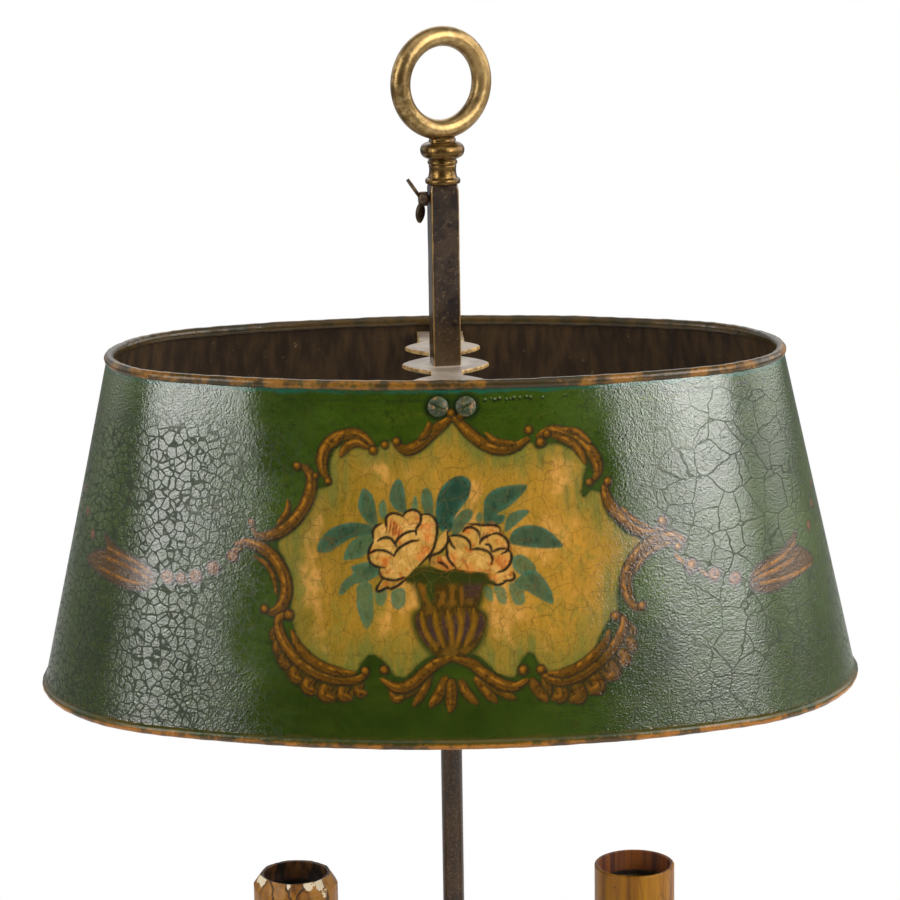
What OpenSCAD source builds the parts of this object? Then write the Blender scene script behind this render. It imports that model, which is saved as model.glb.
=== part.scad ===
// Bouillotte lamp: a weighted dish base, a turned column, two scroll arms with candle
// sleeves, and an oval painted sheet-metal shade that slides and turns on a round rod
// and is held by a wing screw. Millimetres, +Z up, origin on the table under the rod,
// X along the arms and the long axis of the shade, -Y to the front.

/* [Shade] */
// Distance from the centre to each end-arc centre of the oval
end_c = 95; // [88:1:102]
// Radius of the end arcs at the lower rim, over the bead
end_r = 95; // [90:1:98]
// How much every radius shrinks from the lower rim to the upper one
taper = 34.5; // [28:0.5:38]
// Height of the shade
shade_h = 156; // [149:1:162]
// Thickness of the shade's sheet
sheet_t = 0.8; // [0.7:0.05:1]
// Radius of the rolled rims
bead_r = 2.3; // [2.1:0.1:2.6]
// Radius of the iron wire inside each rolled rim
wire_r = 1.4; // [1:0.05:1.5]

/* [Bridge] */
// Height of the bridge's top face above the lower rim
bridge_h = 148; // [140:0.5:149]
// Thickness of the bridge
bridge_t = 2; // [1.5:0.1:2.5]
// Diameter of the middle lobe
lobe_d = 40; // [36:1:44]
// Diameter of the front and back lobes
end_lobe_d = 36; // [32:1:39]
// Distance from the rod to the middle of the outer lobes
lobe_pitch = 41; // [38:1:44]
// Width of the necks between the lobes
neck_w = 14.5; // [12:0.5:20]
// Width of the ends and their bent tabs
tab_w = 22; // [20:1:26]
// Height of the bent tabs
tab_h = 11; // [9:0.5:14]
// Distance between the two screws of a tab
screw_pitch = 12; // [11:0.5:13]
// Depth of the screws' axes below the bridge's top face
screw_drop = 3; // [2.6:0.1:5]
// How far the ends of the bridge sit out of the middle, the front one to +X
end_shift = 3; // [0:0.5:4]
// Radius of the screws' shanks
screw_r = 1.5; // [1.2:0.1:1.6]
// Radius of the screws' domed heads
head_r = 4.4; // [4:0.1:4.8]

/* [Rod and carriage] */
// Diameter of the round rod
rod_d = 10; // [9.5:0.1:10.2]
// Running clearance of the liner on the rod, and of the sleeve on the liner
run_gap = 0.05; // [0.03:0.01:0.08]
// Wall of the split guide liner
liner_t = 0.6; // [0.5:0.05:0.7]
// Outside width of the square sleeve
sleeve_w = 13; // [13:0.1:14]
// Turn of the square sleeve from the long axis of the shade
sleeve_turn = 9.75; // [0:0.25:20]
// Length of the square sleeve above the bridge
sleeve_h = 82.5; // [70:0.5:100]
// Distance from the right candle sleeve's top up to the shade, shade at its highest
candle_gap = 95; // [90:1:110]
// Depth of the wing screw's axis below the sleeve's top
key_drop = 6.4; // [6:0.1:12]
// Radius of the wing screw's shank
key_r = 1.7; // [1.5:0.1:2]
// Length of each wing of the wing screw
wing_len = 9.5; // [8:0.5:11]

/* [Finial] */
// Height of the turned collar under the ring
collar_h = 21.4; // [20:0.2:24]
// Greatest radius of the collar
collar_r = 10.1; // [9.5:0.1:11]
// Radius of the ring's centre line
ring_r = 20.9; // [18:0.1:24]
// Radius of the ring's bar
ring_bar_r = 4.5; // [4:0.1:5]
// Turn of the ring from the long axis of the shade
ring_turn = 30; // [0:1:45]

/* [Candles] */
// Reach of the right arm
reach_right = 86; // [82:1:90]
// Reach of the left arm
reach_left = 75; // [72:1:80]
// How much lower the left candle stands than the right one
left_drop = 2.4; // [0:0.2:4]
// Outside diameter of the right candle sleeve
candle_d = 38; // [37:0.5:40]
// Outside diameter of the left candle sleeve
candle_left_d = 40; // [39:0.5:41]
// Wall of a candle sleeve
candle_wall = 2; // [1.8:0.1:2.2]
// Length of a candle sleeve
candle_len = 90; // [80:1:100]
// Depth of the lampholder's mouth below the top of its sleeve
holder_sink = 9; // [6:1:20]
// Height of the lampholder body
holder_h = 40; // [38:1:44]
// Radius inside the screw shell of the lampholder
shell_r = 13.3; // [13.2:0.05:13.4]
// Length of the screw shell
shell_h = 24; // [22:1:26]
// Radius of the drip pan over its rolled edge
pan_r = 32; // [29:1:33]
// Thickness of the drip pan
pan_t = 1.2; // [1:0.1:1.5]
// Height of the candle cup
cup_h = 18; // [16:1:22]

/* [Arms and column] */
// Radius of the arm's tube
arm_r = 4.5; // [4.2:0.1:5]
// Radius of the wiring channel in the arm
channel_r = 3; // [2.8:0.1:3.2]
// Radius of the two-core lead in each arm
lead_r = 2; // [1.5:0.1:2.2]
// Bend radius of the arm where it leaves the hub
drop_r = 14; // [10:1:16]
// Angle through which the arm first bends down
drop_a = 45; // [30:1:50]
// Rise of the right arm from the hub's middle to its top
arm_rise = 32; // [30:1:40]
// Radius of the hub
hub_r = 19; // [18:0.5:21]
// Height of the hub
hub_h = 28; // [24:1:32]
// Height of the knop above the hub
knop_h = 15; // [12:1:18]
// Height of the column
column_h = 116; // [90:1:140]
// Radius of the bore of the column and the hub
bore_r = 11.8; // [11.6:0.1:12.5]
// Greatest radius of the column
column_r = 21; // [19:0.5:24]

/* [Base] */
// Radius of the base
base_r = 112; // [104:1:114]
// Height of the plinth above the felt
plinth_h = 14.5; // [14:0.5:20]
// Wall of the base
base_t = 2.2; // [1.8:0.1:2.6]
// Height of the gallery rim above the floor of the dish
rim_h = 11; // [8:1:16]
// Height of the boss under the column above the floor of the dish
boss_h = 18; // [16:1:24]
// Radius of the boss's top
boss_r = 26; // [24:1:30]
// Thickness of the felt
felt_t = 1.5; // [1:0.1:3]
// Thickness of the steel bottom plate
plate_t = 1.2; // [1:0.1:2]
// Height of the cast-iron weight
weight_h = 9; // [6:0.5:10]
// Radius of the hole in the cord inlet
inlet_r = 3.5; // [3:0.1:4]

/* [Hidden] */
$fn = 72;

// Clearances
seat = 0.1;      // between pieces that are put together and stay
slip = 0.3;      // between neighbours that only pass each other

// Levels of the stand, from the table up
dish_z = felt_t + plinth_h;              // floor of the dish
base_top = dish_z + boss_h;              // top of the boss, where the column stands
hub_low = base_top + column_h;
hub_z = hub_low + hub_h / 2;
arm_top_right = hub_z + arm_rise;
arm_top_left = arm_top_right - left_drop;
candle_top = arm_top_right + cup_h + pan_t + candle_len;

// Levels of the shade
shade_z = candle_top + candle_gap;
bridge_z = shade_z + bridge_h;
sleeve_top = bridge_z + sleeve_h;
collar_z = sleeve_top + slip;
ring_z = collar_z + collar_h + ring_r + ring_bar_r - 1.5;
key_z = sleeve_top - key_drop;

// Section of the shade: wall_in is how far the wall's outside lies inside the bead
wall_in = 1.2;
wall_slope = atan(taper / (shade_h - 2 * bead_r));

// The oval is laid out on a 5-12-13 triangle: the side arcs' centres lie on the short
// axis, and the lines from them through the end arcs' centres are where the arcs join
side_k = end_c * 12 / 5;
side_off = end_c * 13 / 5;

// Rod, liner and square sleeve
rod_r = rod_d / 2;
liner_in = rod_r + run_gap;
liner_out = liner_in + liner_t;
sleeve_in = 2 * (liner_out + run_gap);
liner_flange_t = 1;
liner_flange_r = liner_out + 3;

// Wiring
lead_x = rod_r + lead_r + 2.2;
lead_bend = 4.5;
lead_ball_r = lead_r + 0.15;
lead_low = felt_t + plate_t + 5;
base_bend = 8;
block_y = 46;
block = [30, 20, 9];

// Rod end under the base
stub_r = 4;
bar = [12, 44, 4];
nut_h = 6.5;
nut_af = 13;

stem_out = 4.8;
stem_in = lead_r + 0.6;
holder_r = candle_d / 2 - candle_wall - 0.6;

brass = [0.66, 0.52, 0.28];
aged_brass = [0.36, 0.26, 0.17];
dark_iron = [0.22, 0.2, 0.19];
steel = [0.62, 0.62, 0.63];
tole_green = [0.2, 0.3, 0.1];
pale_metal = [0.7, 0.64, 0.58];
amber = [0.52, 0.3, 0.1];
bakelite = [0.12, 0.08, 0.06];

// ---- shared shapes ----

// A ring with the given inside and outside radius
module tube(r_out, r_in, h) {
    difference() {
        cylinder(r = r_out, h = h);
        translate([0, 0, -1]) cylinder(r = r_in, h = h + 2);
    }
}

// The part of its children that stands over an outline
module over(outline) intersection() {
    children();
    translate([0, 0, -10]) linear_extrude(shade_h + 20) polygon(outline);
}

// A section swept round the four-arc oval; its x is measured outward from the lower rim
module oval_sweep() {
    for (s = [-1, 1]) {
        over([[s * end_c, 0], [2 * s * end_c, -side_k], [4 * s * end_c, -side_k],
                [4 * s * end_c, side_k], [2 * s * end_c, side_k]])
            translate([s * end_c, 0, 0]) rotate_extrude() translate([end_r, 0]) children();
        over([[0, -s * side_k], [-2 * end_c, s * side_k], [2 * end_c, s * side_k]])
            translate([0, -s * side_k, 0])
                rotate_extrude() translate([end_r + side_off, 0]) children();
    }
}

// Radius of the shade's side arc at a height above the lower rim, outside of the sheet
function side_r(z) = end_r + side_off - wall_in - (z - bead_r) * tan(wall_slope);
// The sheet's thickness measured level
sheet_level = sheet_t / cos(wall_slope);
// Distance from the long axis to the inside of the sheet at a height
function inside_y(z) = side_r(z) - sheet_level - side_k;

// Children stand on the side of the shade, their z along the outward normal
module on_side(face, turn, z) {
    rotate([0, 0, face]) translate([0, -side_k, 0]) rotate([0, 0, turn])
        translate([0, side_r(z), z]) rotate([wall_slope - 90, 0, 0]) children();
}

// Stretches of a bent bar stop this far short of each join, and a ball or a flange
// on the join takes both ends
join_cut = 0.3;

// A stretch bent in the XZ plane: from angle a0 through sweep about the centre c
module bend(c, bend_r, a0, sweep, r, sides) {
    short = join_cut / bend_r * 180 / PI;
    translate([c[0], 0, c[1]]) rotate([90, 0, 0]) rotate([0, 0, a0 + short])
        rotate_extrude(angle = sweep - 2 * short)
            translate([bend_r, 0]) circle(r, $fn = sides);
}

// A straight stretch along Z from the join at z0 to the join at z1
module straight(z0, z1, r, sides) {
    translate([0, 0, z0 + join_cut])
        cylinder(r = r, h = z1 - z0 - 2 * join_cut, $fn = sides);
}

// ---- the arm's run ----

arm_u0 = hub_r + 1.2;
function sweep_r(reach) = (reach - arm_u0 - drop_r * sin(drop_a)) / (1 + sin(drop_a));
function sweep_c(reach) = [
    reach - sweep_r(reach),
    hub_z - drop_r + (drop_r + sweep_r(reach)) * cos(drop_a)
];

// Where the straights and bends of the run meet
function joins(reach) = [
    [arm_u0, hub_z],
    [arm_u0 + drop_r * sin(drop_a), hub_z - drop_r * (1 - cos(drop_a))],
    [reach, sweep_c(reach)[1]]
];

// The run of an arm on the +X side, from u_in out to the height z_out
module arm_run(reach, u_in, z_out, r, sides) {
    c = sweep_c(reach);
    translate([0, 0, hub_z]) rotate([0, 90, 0]) straight(u_in, arm_u0, r, sides);
    bend([arm_u0, hub_z - drop_r], drop_r, 90 - drop_a, drop_a, r, sides);
    bend(c, sweep_r(reach), 270 - drop_a, 90 + drop_a, r, sides);
    translate([reach, 0, 0]) straight(c[1], z_out, r, sides);
}

// Balls over the joins of the run, from the join numbered first
module arm_balls(reach, first, r) {
    for (i = [first:2])
        translate([joins(reach)[i][0], 0, joins(reach)[i][1]]) sphere(r);
}

collar_len = 9;      // turned collar at the top of the arm
stem_seat = 6;       // how deep the stem screws into that collar
arm_u_in = bore_r + 0.8;

flange_r = arm_r + 3;
knuckle_r = arm_r + 1.5;

// A hollow arm with a flange at the hub, two ball knuckles and a collar for the stem
module arm(reach, top) {
    difference() {
        union() {
            arm_run(reach, arm_u_in, top - 1, arm_r, $fn);
            arm_balls(reach, 1, knuckle_r);
            translate([hub_r + slip, 0, hub_z]) rotate([0, 90, 0])
                cylinder(r = flange_r, h = 1.7);
            translate([reach, 0, top - collar_len]) rotate_extrude() polygon([
                [0, 0], [arm_r + 1.5, 0], [arm_r + 2.8, 1.2], [arm_r + 2, 3],
                [arm_r + 2, collar_len - 3], [arm_r + 3.5, collar_len - 2],
                [arm_r + 3.5, collar_len], [0, collar_len]
            ]);
        }
        arm_run(reach, arm_u_in - 1, top - 3, channel_r, $fn);
        arm_balls(reach, 0, channel_r + 0.3);
        translate([reach, 0, top - stem_seat]) cylinder(r = stem_out + seat, h = stem_seat + 1);
    }
}

// The lead from the lampholder through the arm, the hub, the column and the base
module lead(reach, top) {
    high = hub_z - lead_bend;
    low = lead_low + base_bend;
    arm_run(reach, lead_x + lead_bend, holder_low(top) + holder_floor - 0.5, lead_r, 12);
    arm_balls(reach, 0, lead_ball_r);
    bend([lead_x + lead_bend, high], lead_bend, 90, 90, lead_r, 12);
    translate([lead_x, 0, 0]) straight(low, high, lead_r, 12);
    translate([lead_x, base_bend, low]) rotate([0, 0, 90])
        bend([0, 0], base_bend, 180, 90, lead_r, 12);
    translate([lead_x, 0, lead_low]) rotate([-90, 0, 0])
        straight(base_bend, block_y, lead_r, 12);
    for (p = [[lead_x + lead_bend, 0, hub_z], [lead_x, 0, high], [lead_x, 0, low],
            [lead_x, base_bend, lead_low]])
        translate(p) sphere(lead_ball_r);
}

// ---- the candle stack, each piece from its own seat ----

function pan_z(top) = top + cup_h;
function candle_z(top) = pan_z(top) + pan_t;
function holder_low(top) = candle_z(top) + candle_len - holder_sink - holder_h;

module cup() {
    difference() {
        rotate_extrude() union() {
            polygon([[0, 0], [8.2, 0], [8.2, 1.5], [6.4, 3.4], [6.4, 5], [10.5, 8.2],
                [13.4, 11.6], [14.2, cup_h - 2.4], [15.2, cup_h - 1.6], [15.2, cup_h],
                [0, cup_h]]);
            translate([6.4, 4.2]) circle(1.5);
        }
        translate([0, 0, -1]) cylinder(r = stem_out + seat, h = cup_h + 2);
    }
}

pan_rise = 7;        // height of the rolled edge's middle over the pan's underside
pan_edge_r = 1.6;
pan_flat_r = 21;     // where the pan's floor ends

module pan() {
    difference() {
        rotate_extrude() union() {
            polygon([[0, 0], [pan_flat_r, 0], [pan_r - 3 * pan_edge_r, 2 * pan_t],
                [pan_r - pan_edge_r, pan_rise - 0.5 * pan_t],
                [pan_r - 1.8 * pan_edge_r, pan_rise], [pan_r - 3.6 * pan_edge_r, 3 * pan_t],
                [pan_flat_r - 0.4, pan_t], [0, pan_t]]);
            translate([pan_r - pan_edge_r, pan_rise]) circle(pan_edge_r);
        }
        translate([0, 0, -1]) cylinder(r = stem_out + seat, h = pan_t + 2);
    }
}

module stem(top) {
    low = top - stem_seat + seat;
    translate([0, 0, low]) tube(stem_out, stem_in, holder_low(top) + 6 - low);
}

stem_nut_r = 8;      // over the corners
stem_nut_h = 4;

module stem_nut() {
    difference() {
        cylinder(r = stem_nut_r, h = stem_nut_h, $fn = 6);
        translate([0, 0, -1]) cylinder(r = stem_out + seat, h = stem_nut_h + 2);
    }
}

holder_floor = 8;    // floor of the lampholder's cavity over its foot

module lampholder() {
    difference() {
        rotate_extrude() polygon([[0, 0], [9, 0], [holder_r, 7], [holder_r, holder_h - 1],
            [holder_r - 1, holder_h], [0, holder_h]]);
        translate([0, 0, holder_floor]) cylinder(r = shell_r + 0.7, h = holder_h);
        translate([0, 0, -1]) cylinder(r = stem_out + seat, h = 7.2);
        translate([0, 0, -1]) cylinder(r = stem_in, h = holder_h);
    }
}

module shell() {
    low = holder_h - shell_h - 2;
    translate([0, 0, low]) tube(shell_r + 0.6, shell_r, shell_h);
    translate([0, 0, low]) tube(shell_r + 0.6, 9, 0.6);
}

// The sprung tongue under the lamp's cap, a strip bent up from the cavity's floor
module contact() {
    translate([0, 3, holder_floor]) rotate([90, 0, 0]) linear_extrude(6) polygon([
        [-8, 0], [3, 0], [3, 0.6], [-2, 0.6], [4, 4.4], [3.6, 4.9], [-4, 0.6], [-8, 0.6]
    ]);
}

module candle_right() {
    r = candle_d / 2;
    rotate_extrude() union() {
        translate([r - candle_wall, 0]) square([candle_wall, candle_len - candle_wall / 2]);
        translate([r - candle_wall / 2, candle_len - candle_wall / 2]) circle(candle_wall / 2);
    }
}

// The left sleeve is thicker below and its mouth is whittled down in flats
module candle_left() {
    r = candle_left_d / 2;
    r_in = candle_d / 2 - candle_wall;
    flats = 9;
    difference() {
        tube(r, r_in, candle_len);
        for (i = [0:flats - 1])
            rotate([0, 0, i * 360 / flats + 8]) translate([r_in + 1.1, 0, candle_len])
                rotate([0, -16 - 3 * (i % 3), 0]) translate([0, -r, -r]) cube(2 * r);
    }
}

// Places its children on the top of an arm
module at_left() translate([-reach_left, 0, arm_top_left]) children();
module at_right() translate([reach_right, 0, arm_top_right]) children();

// ---- base ----

inlet_z = felt_t + 6.2;
inlet_out = inlet_r + 1;

module felt_pad() color("darkgreen") cylinder(r = base_r - 1, h = felt_t);

module bottom_plate() color(steel) translate([0, 0, felt_t])
    cylinder(r = base_r - base_t - slip, h = plate_t);

// A horseshoe casting, open at the back for the wiring
module base_weight() color(dark_iron) translate([0, 0, felt_t + plate_t]) difference() {
    tube(base_r - base_t - 8, 34, weight_h - slip);
    translate([-block[0] / 2 - 5, 0, -1]) cube([block[0] + 10, base_r, weight_h + 2]);
}

module base_dish() color(brass) difference() {
    rotate_extrude() union() {
        translate([0, felt_t]) square([base_r, plinth_h - 5]);
        translate([0, dish_z - 5]) square([base_r - 5, 5]);
        translate([base_r - 5, dish_z - 5]) circle(5);
        square_cove();
    }
    rotate_extrude() polygon([[0, felt_t - 1], [base_r - base_t, felt_t - 1],
        [base_r - base_t, dish_z - 5], [base_r - 6.5, dish_z - base_t],
        [boss_r + 6, dish_z - base_t], [boss_r - 4, dish_z + 5],
        [boss_r - 4, base_top - base_t], [0, base_top - base_t]]);
    translate([0, 0, base_top - base_t - 1]) cylinder(r = stub_r + seat, h = base_t + 2);
    for (s = [-1, 1]) translate([s * lead_x, 0, base_top - base_t - 1])
        cylinder(r = lead_r + 0.5, h = base_t + 2);
    translate([0, base_r - 2 * base_t, inlet_z]) rotate([-90, 0, 0])
        cylinder(r = inlet_out + seat, h = 3 * base_t);
}

// The boss in the middle of the dish, with a cove at its foot
module square_cove() {
    cove = boss_h * 0.6;
    translate([0, dish_z - 1]) square([boss_r, boss_h + 1]);
    difference() {
        translate([0, dish_z - 1]) square([boss_r + cove, cove + 1]);
        translate([boss_r + cove, dish_z + cove]) circle(cove);
    }
    translate([boss_r, base_top - 2]) circle(2);
}

// The gallery round the dish: a thin wall with a bead at its top and its foot
module base_rim() color(brass) translate([0, 0, dish_z]) rotate_extrude()
    translate([base_r - 9, 0]) union() {
        translate([-0.8, 0]) square([1.6, rim_h - 1.5]);
        translate([0, rim_h - 1.8]) circle(1.8);
        translate([-1.5, 0]) square([3, 1.5]);
    }

// An insulating bush in the back of the plinth, flanged outside, for a flex
module cord_inlet() color(bakelite) translate([0, base_r - base_t - 4, inlet_z])
    rotate([-90, 0, 0]) difference() {
        union() {
            cylinder(r = inlet_out, h = base_t + 4 + 0.3);
            translate([0, 0, base_t + 4.3]) cylinder(r = inlet_out + 1.1, h = 1.6);
        }
        translate([0, 0, -1]) cylinder(r = inlet_r, h = base_t + 8);
    }

module terminal_block() color(bakelite)
    translate([-block[0] / 2, block_y + seat, felt_t + plate_t]) difference() {
        cube([block[0], block[1], block[2] - slip]);
        for (x = [-lead_x, lead_x]) translate([block[0] / 2 + x, block[1] / 2, 2])
            cylinder(r = 2.2, h = block[2]);
    }

module clamp_bar() color(steel) translate([0, 0, base_top - base_t - bar[2]]) difference() {
    translate([-bar[0] / 2, -bar[1] / 2 + 4, 0]) cube([bar[0], bar[1] - 8, bar[2]]);
    translate([0, 0, -1]) cylinder(r = stub_r + seat, h = bar[2] + 2);
}

module base_nut() color(steel) translate([0, 0, base_top - base_t - bar[2] - nut_h])
    difference() {
        rotate(30) cylinder(r = nut_af / sqrt(3), h = nut_h, $fn = 6);
        translate([0, 0, -1]) cylinder(r = stub_r + seat, h = nut_h + 2);
    }

// ---- column, hub and rod ----

// Points on a smooth S from one radius to the next
function ease(z0, z1, r0, r1) = [
    for (i = [0:6]) [r0 + (r1 - r0) * (1 - cos(30 * i)) / 2, z0 + (z1 - z0) * i / 6]
];

module column() color(brass) translate([0, 0, base_top]) difference() {
    rotate_extrude() polygon(concat(
        [[0, 0], [column_r + 1, 0], [column_r + 1, 4]],
        ease(5, 0.16 * column_h, column_r - 1, bore_r + 3),
        ease(0.2 * column_h, 0.46 * column_h, bore_r + 3, column_r),
        ease(0.5 * column_h, 0.86 * column_h, column_r, bore_r + 2.4),
        [[bore_r + 5.2, 0.88 * column_h], [bore_r + 5.2, 0.92 * column_h],
            [bore_r + 3.2, 0.94 * column_h], [hub_r - 2, column_h - 3],
            [hub_r - 2, column_h], [0, column_h]]
    ));
    translate([0, 0, -1]) cylinder(r = bore_r, h = column_h + 2);
}

module hub() color(brass) difference() {
    translate([0, 0, hub_low]) rotate_extrude() union() {
        square([hub_r - 1.5, hub_h]);
        translate([0, 3]) square([hub_r, hub_h - 6]);
        translate([hub_r - 1.5, 3]) circle(3);
        translate([hub_r - 1.5, hub_h - 3]) circle(3);
    }
    translate([0, 0, hub_low - 1]) cylinder(r = bore_r, h = hub_h / 2 + 1 + 6);
    translate([0, 0, hub_low]) cylinder(r = rod_r + seat, h = hub_h + 1);
    translate([-hub_r - 4, 0, hub_z]) rotate([0, 90, 0])
        cylinder(r = arm_r + seat, h = 2 * hub_r + 8);
}

module hub_knop() color(brass) translate([0, 0, hub_low + hub_h]) difference() {
    rotate_extrude() union() {
        polygon(concat([[0, 0], [hub_r - 3, 0], [hub_r - 3, 2]],
            ease(3, 0.5 * knop_h, hub_r - 6, rod_r + 3.5), [[0, 0.5 * knop_h]]));
        translate([0, 0.4 * knop_h]) square([rod_r + 3.5, 0.6 * knop_h]);
        translate([rod_r + 3.5, 0.78 * knop_h]) circle(0.2 * knop_h);
    }
    translate([0, 0, -1]) cylinder(r = rod_r + seat, h = knop_h + 2);
}

module rod() color(aged_brass) {
    low = base_top - base_t - bar[2] - nut_h - 2;
    translate([0, 0, base_top]) cylinder(r = rod_r, h = collar_z + rod_in_collar - base_top);
    translate([0, 0, low]) cylinder(r = stub_r, h = base_top - low);
}

// ---- finial ----

rod_in_collar = 13;

module ring_bar(extra) {
    translate([0, 0, ring_z]) rotate([0, 0, ring_turn]) rotate([90, 0, 0])
        rotate_extrude() translate([ring_r, 0]) circle(ring_bar_r + extra);
}

peg_r = 2.5;
peg_h = 5;

module finial_collar() color(brass) difference() {
    translate([0, 0, collar_z]) rotate_extrude() union() {
        square([0.78 * collar_r, 0.13 * collar_h]);
        translate([0.7 * collar_r, 0.065 * collar_h]) circle(0.065 * collar_h);
        polygon(concat(
            ease(0.13 * collar_h, 0.34 * collar_h, 0.74 * collar_r, 0.62 * collar_r),
            ease(0.34 * collar_h, 0.54 * collar_h, 0.62 * collar_r, 0.72 * collar_r),
            [[0, 0.54 * collar_h], [0, 0.13 * collar_h]]));
        translate([0, 0.54 * collar_h]) square([0.8 * collar_r, 0.07 * collar_h]);
        translate([0.8 * collar_r, 0.575 * collar_h]) circle(0.035 * collar_h);
        translate([0, 0.61 * collar_h]) square([0.82 * collar_r, 0.39 * collar_h]);
        translate([0.8 * collar_r, 0.8 * collar_h]) circle(0.2 * collar_r);
    }
    translate([0, 0, collar_z - 1]) cylinder(r = rod_r + run_gap, h = rod_in_collar + 1.2);
    translate([0, 0, collar_z + collar_h - 1.5 - peg_h]) cylinder(r = peg_r + run_gap, h = 10);
    ring_bar(0.05);
}

module finial_ring() color(brass) {
    ring_bar(0);
    translate([0, 0, collar_z + collar_h - 1 - peg_h]) cylinder(r = peg_r, h = peg_h + 1);
}

// ---- carriage ----

module guide_liner() color(brass) difference() {
    union() {
        translate([0, 0, bridge_z - bridge_t - 0.1])
            tube(liner_out, liner_in, sleeve_h + bridge_t - 0.2);
        translate([0, 0, bridge_z - bridge_t - 0.1 - liner_flange_t])
            tube(liner_flange_r, liner_in, liner_flange_t);
    }
    translate([0, -0.5, bridge_z - bridge_t - 5]) cube([2 * liner_out, 1, sleeve_h + 10]);
}

// A square prism round the rod, turned with the sleeve
module square_post(width, z0, z1) rotate([0, 0, sleeve_turn])
    translate([-width / 2, -width / 2, z0]) cube([width, width, z1 - z0]);

// The sleeve's foot goes through the bridge, down to its underside
module shade_sleeve() color(aged_brass) difference() {
    square_post(sleeve_w, bridge_z - bridge_t, sleeve_top);
    square_post(sleeve_in, bridge_z - bridge_t - 1, sleeve_top + 1);
    translate([0, 0, key_z]) rotate([0, 0, sleeve_turn]) translate([-sleeve_w, 0, 0])
        rotate([0, 90, 0]) cylinder(r = key_r + seat, h = sleeve_w);
}

// The tab's outside follows the slope of the sheet and clears its curve
tab_t = 2.4;
tab_sag = side_r(bridge_h) - sqrt(pow(side_r(bridge_h), 2) - pow(tab_w / 2, 2));
function tab_y(z) = inside_y(z) - tab_sag - seat;

// The bridge sits askew: its ends are turned about the side arcs' centres, so that the
// tabs lie against the sheet, and the lobes between them about the rod
end_turn = asin(end_shift / side_r(bridge_h));
lobe_turn = asin(end_shift / inside_y(bridge_h));

module at_end(face) rotate([0, 0, face]) translate([0, -side_k, 0])
    rotate([0, 0, end_turn]) translate([0, side_k, 0]) children();

module bridge_plan() {
    circle(lobe_d / 2);
    rotate(lobe_turn) {
        for (s = [-1, 1]) translate([0, s * lobe_pitch]) circle(end_lobe_d / 2);
        square([neck_w, 2 * lobe_pitch], center = true);
    }
    for (face = [0, 180]) at_end(face) translate([-tab_w / 2, lobe_pitch])
        square([tab_w, tab_y(bridge_h) - 1 - lobe_pitch]);
}

module bridge() color(pale_metal) difference() {
    union() {
        translate([0, 0, bridge_z - bridge_t]) linear_extrude(bridge_t) bridge_plan();
        for (face = [0, 180]) at_end(face) translate([tab_w / 2, 0, shade_z])
            rotate([90, 0, -90]) linear_extrude(tab_w) mirror([1, 0]) polygon([
                [tab_y(bridge_h), bridge_h],
                [tab_y(bridge_h - tab_h), bridge_h - tab_h],
                [tab_y(bridge_h - tab_h) - tab_t, bridge_h - tab_h],
                [tab_y(bridge_h) - tab_t, bridge_h]
            ]);
    }
    square_post(sleeve_w + 2 * seat, bridge_z - bridge_t - 1, bridge_z + 1);
    bridge_holes(screw_r + seat);
}

// The four screws' places on the shade, as a turn about the side arc's centre
screw_turn = asin(screw_pitch / 2 / side_r(bridge_h));

module bridge_holes(r) translate([0, 0, shade_z])
    for (face = [0, 180], s = [-1, 1])
        on_side(face, end_turn + s * screw_turn, bridge_h - screw_drop)
            translate([0, 0, -8]) cylinder(r = r, h = 12);

module bridge_screws() color(aged_brass) translate([0, 0, shade_z])
    for (face = [0, 180], s = [-1, 1])
        on_side(face, end_turn + s * screw_turn, bridge_h - screw_drop) difference() {
            union() {
                translate([0, 0, -4.2]) cylinder(r = screw_r, h = 4.5);
                translate([0, 0, 0.1]) rotate_extrude() intersection() {
                    square([head_r, 2.2]);
                    translate([0, 2.2 - 2 * head_r]) circle(2 * head_r);
                }
            }
            rotate([0, 0, s * 30]) translate([-head_r - 1, -0.5, 1.4]) cube([2 * head_r + 2, 1, 2]);
        }

// A rolled rim: the sheet curls almost closed round its wire, from one angle to another
module curl(from, to) {
    steps = 12;
    function ray(i) = let (a = from + (to - from) * i / steps) [cos(a), sin(a)];
    polygon(concat(
        [for (i = [0:steps]) bead_r * ray(i)],
        [for (i = [steps:-1:0]) (bead_r - sheet_t) * ray(i)]
    ));
}

bead_low = [-bead_r, bead_r];
bead_high = [-taper - bead_r, shade_h - bead_r];

module shade_section() {
    rise = 1.6 / 2.3 * bead_r;
    lean = rise * tan(wall_slope);
    polygon([
        [-wall_in - lean, bead_low[1] + rise],
        [-wall_in - taper + lean, bead_high[1] - rise],
        [-wall_in - taper + lean - sheet_level, bead_high[1] - rise],
        [-wall_in - lean - sheet_level, bead_low[1] + rise]
    ]);
    translate(bead_low) curl(85, -205);
    translate(bead_high) curl(-85, 205);
}

module shade() color(tole_green) difference() {
    translate([0, 0, shade_z]) oval_sweep() shade_section();
    bridge_holes(screw_r + 2 * seat);
}

module top_wire() color(dark_iron) translate([0, 0, shade_z])
    oval_sweep() translate(bead_high) circle(wire_r, $fn = 12);

module bottom_wire() color(dark_iron) translate([0, 0, shade_z])
    oval_sweep() translate(bead_low) circle(wire_r, $fn = 12);

// ---- wing screw, drawn with its axis along -X through the sleeve's left face ----

knob_r = 3.3;
knob_h = 4.2;
wing_w = 5;
wing_t = 1.5;

// A leaf-shaped wing standing up from the axis
module wing() {
    arc = (wing_len * wing_len + wing_w * wing_w) / (4 * wing_w);
    rotate([90, 0, 90]) translate([0, wing_len / 2, -wing_t / 2]) linear_extrude(wing_t)
        intersection() {
            translate([arc - wing_w / 2, 0]) circle(arc);
            translate([wing_w / 2 - arc, 0]) circle(arc);
        }
}

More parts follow.
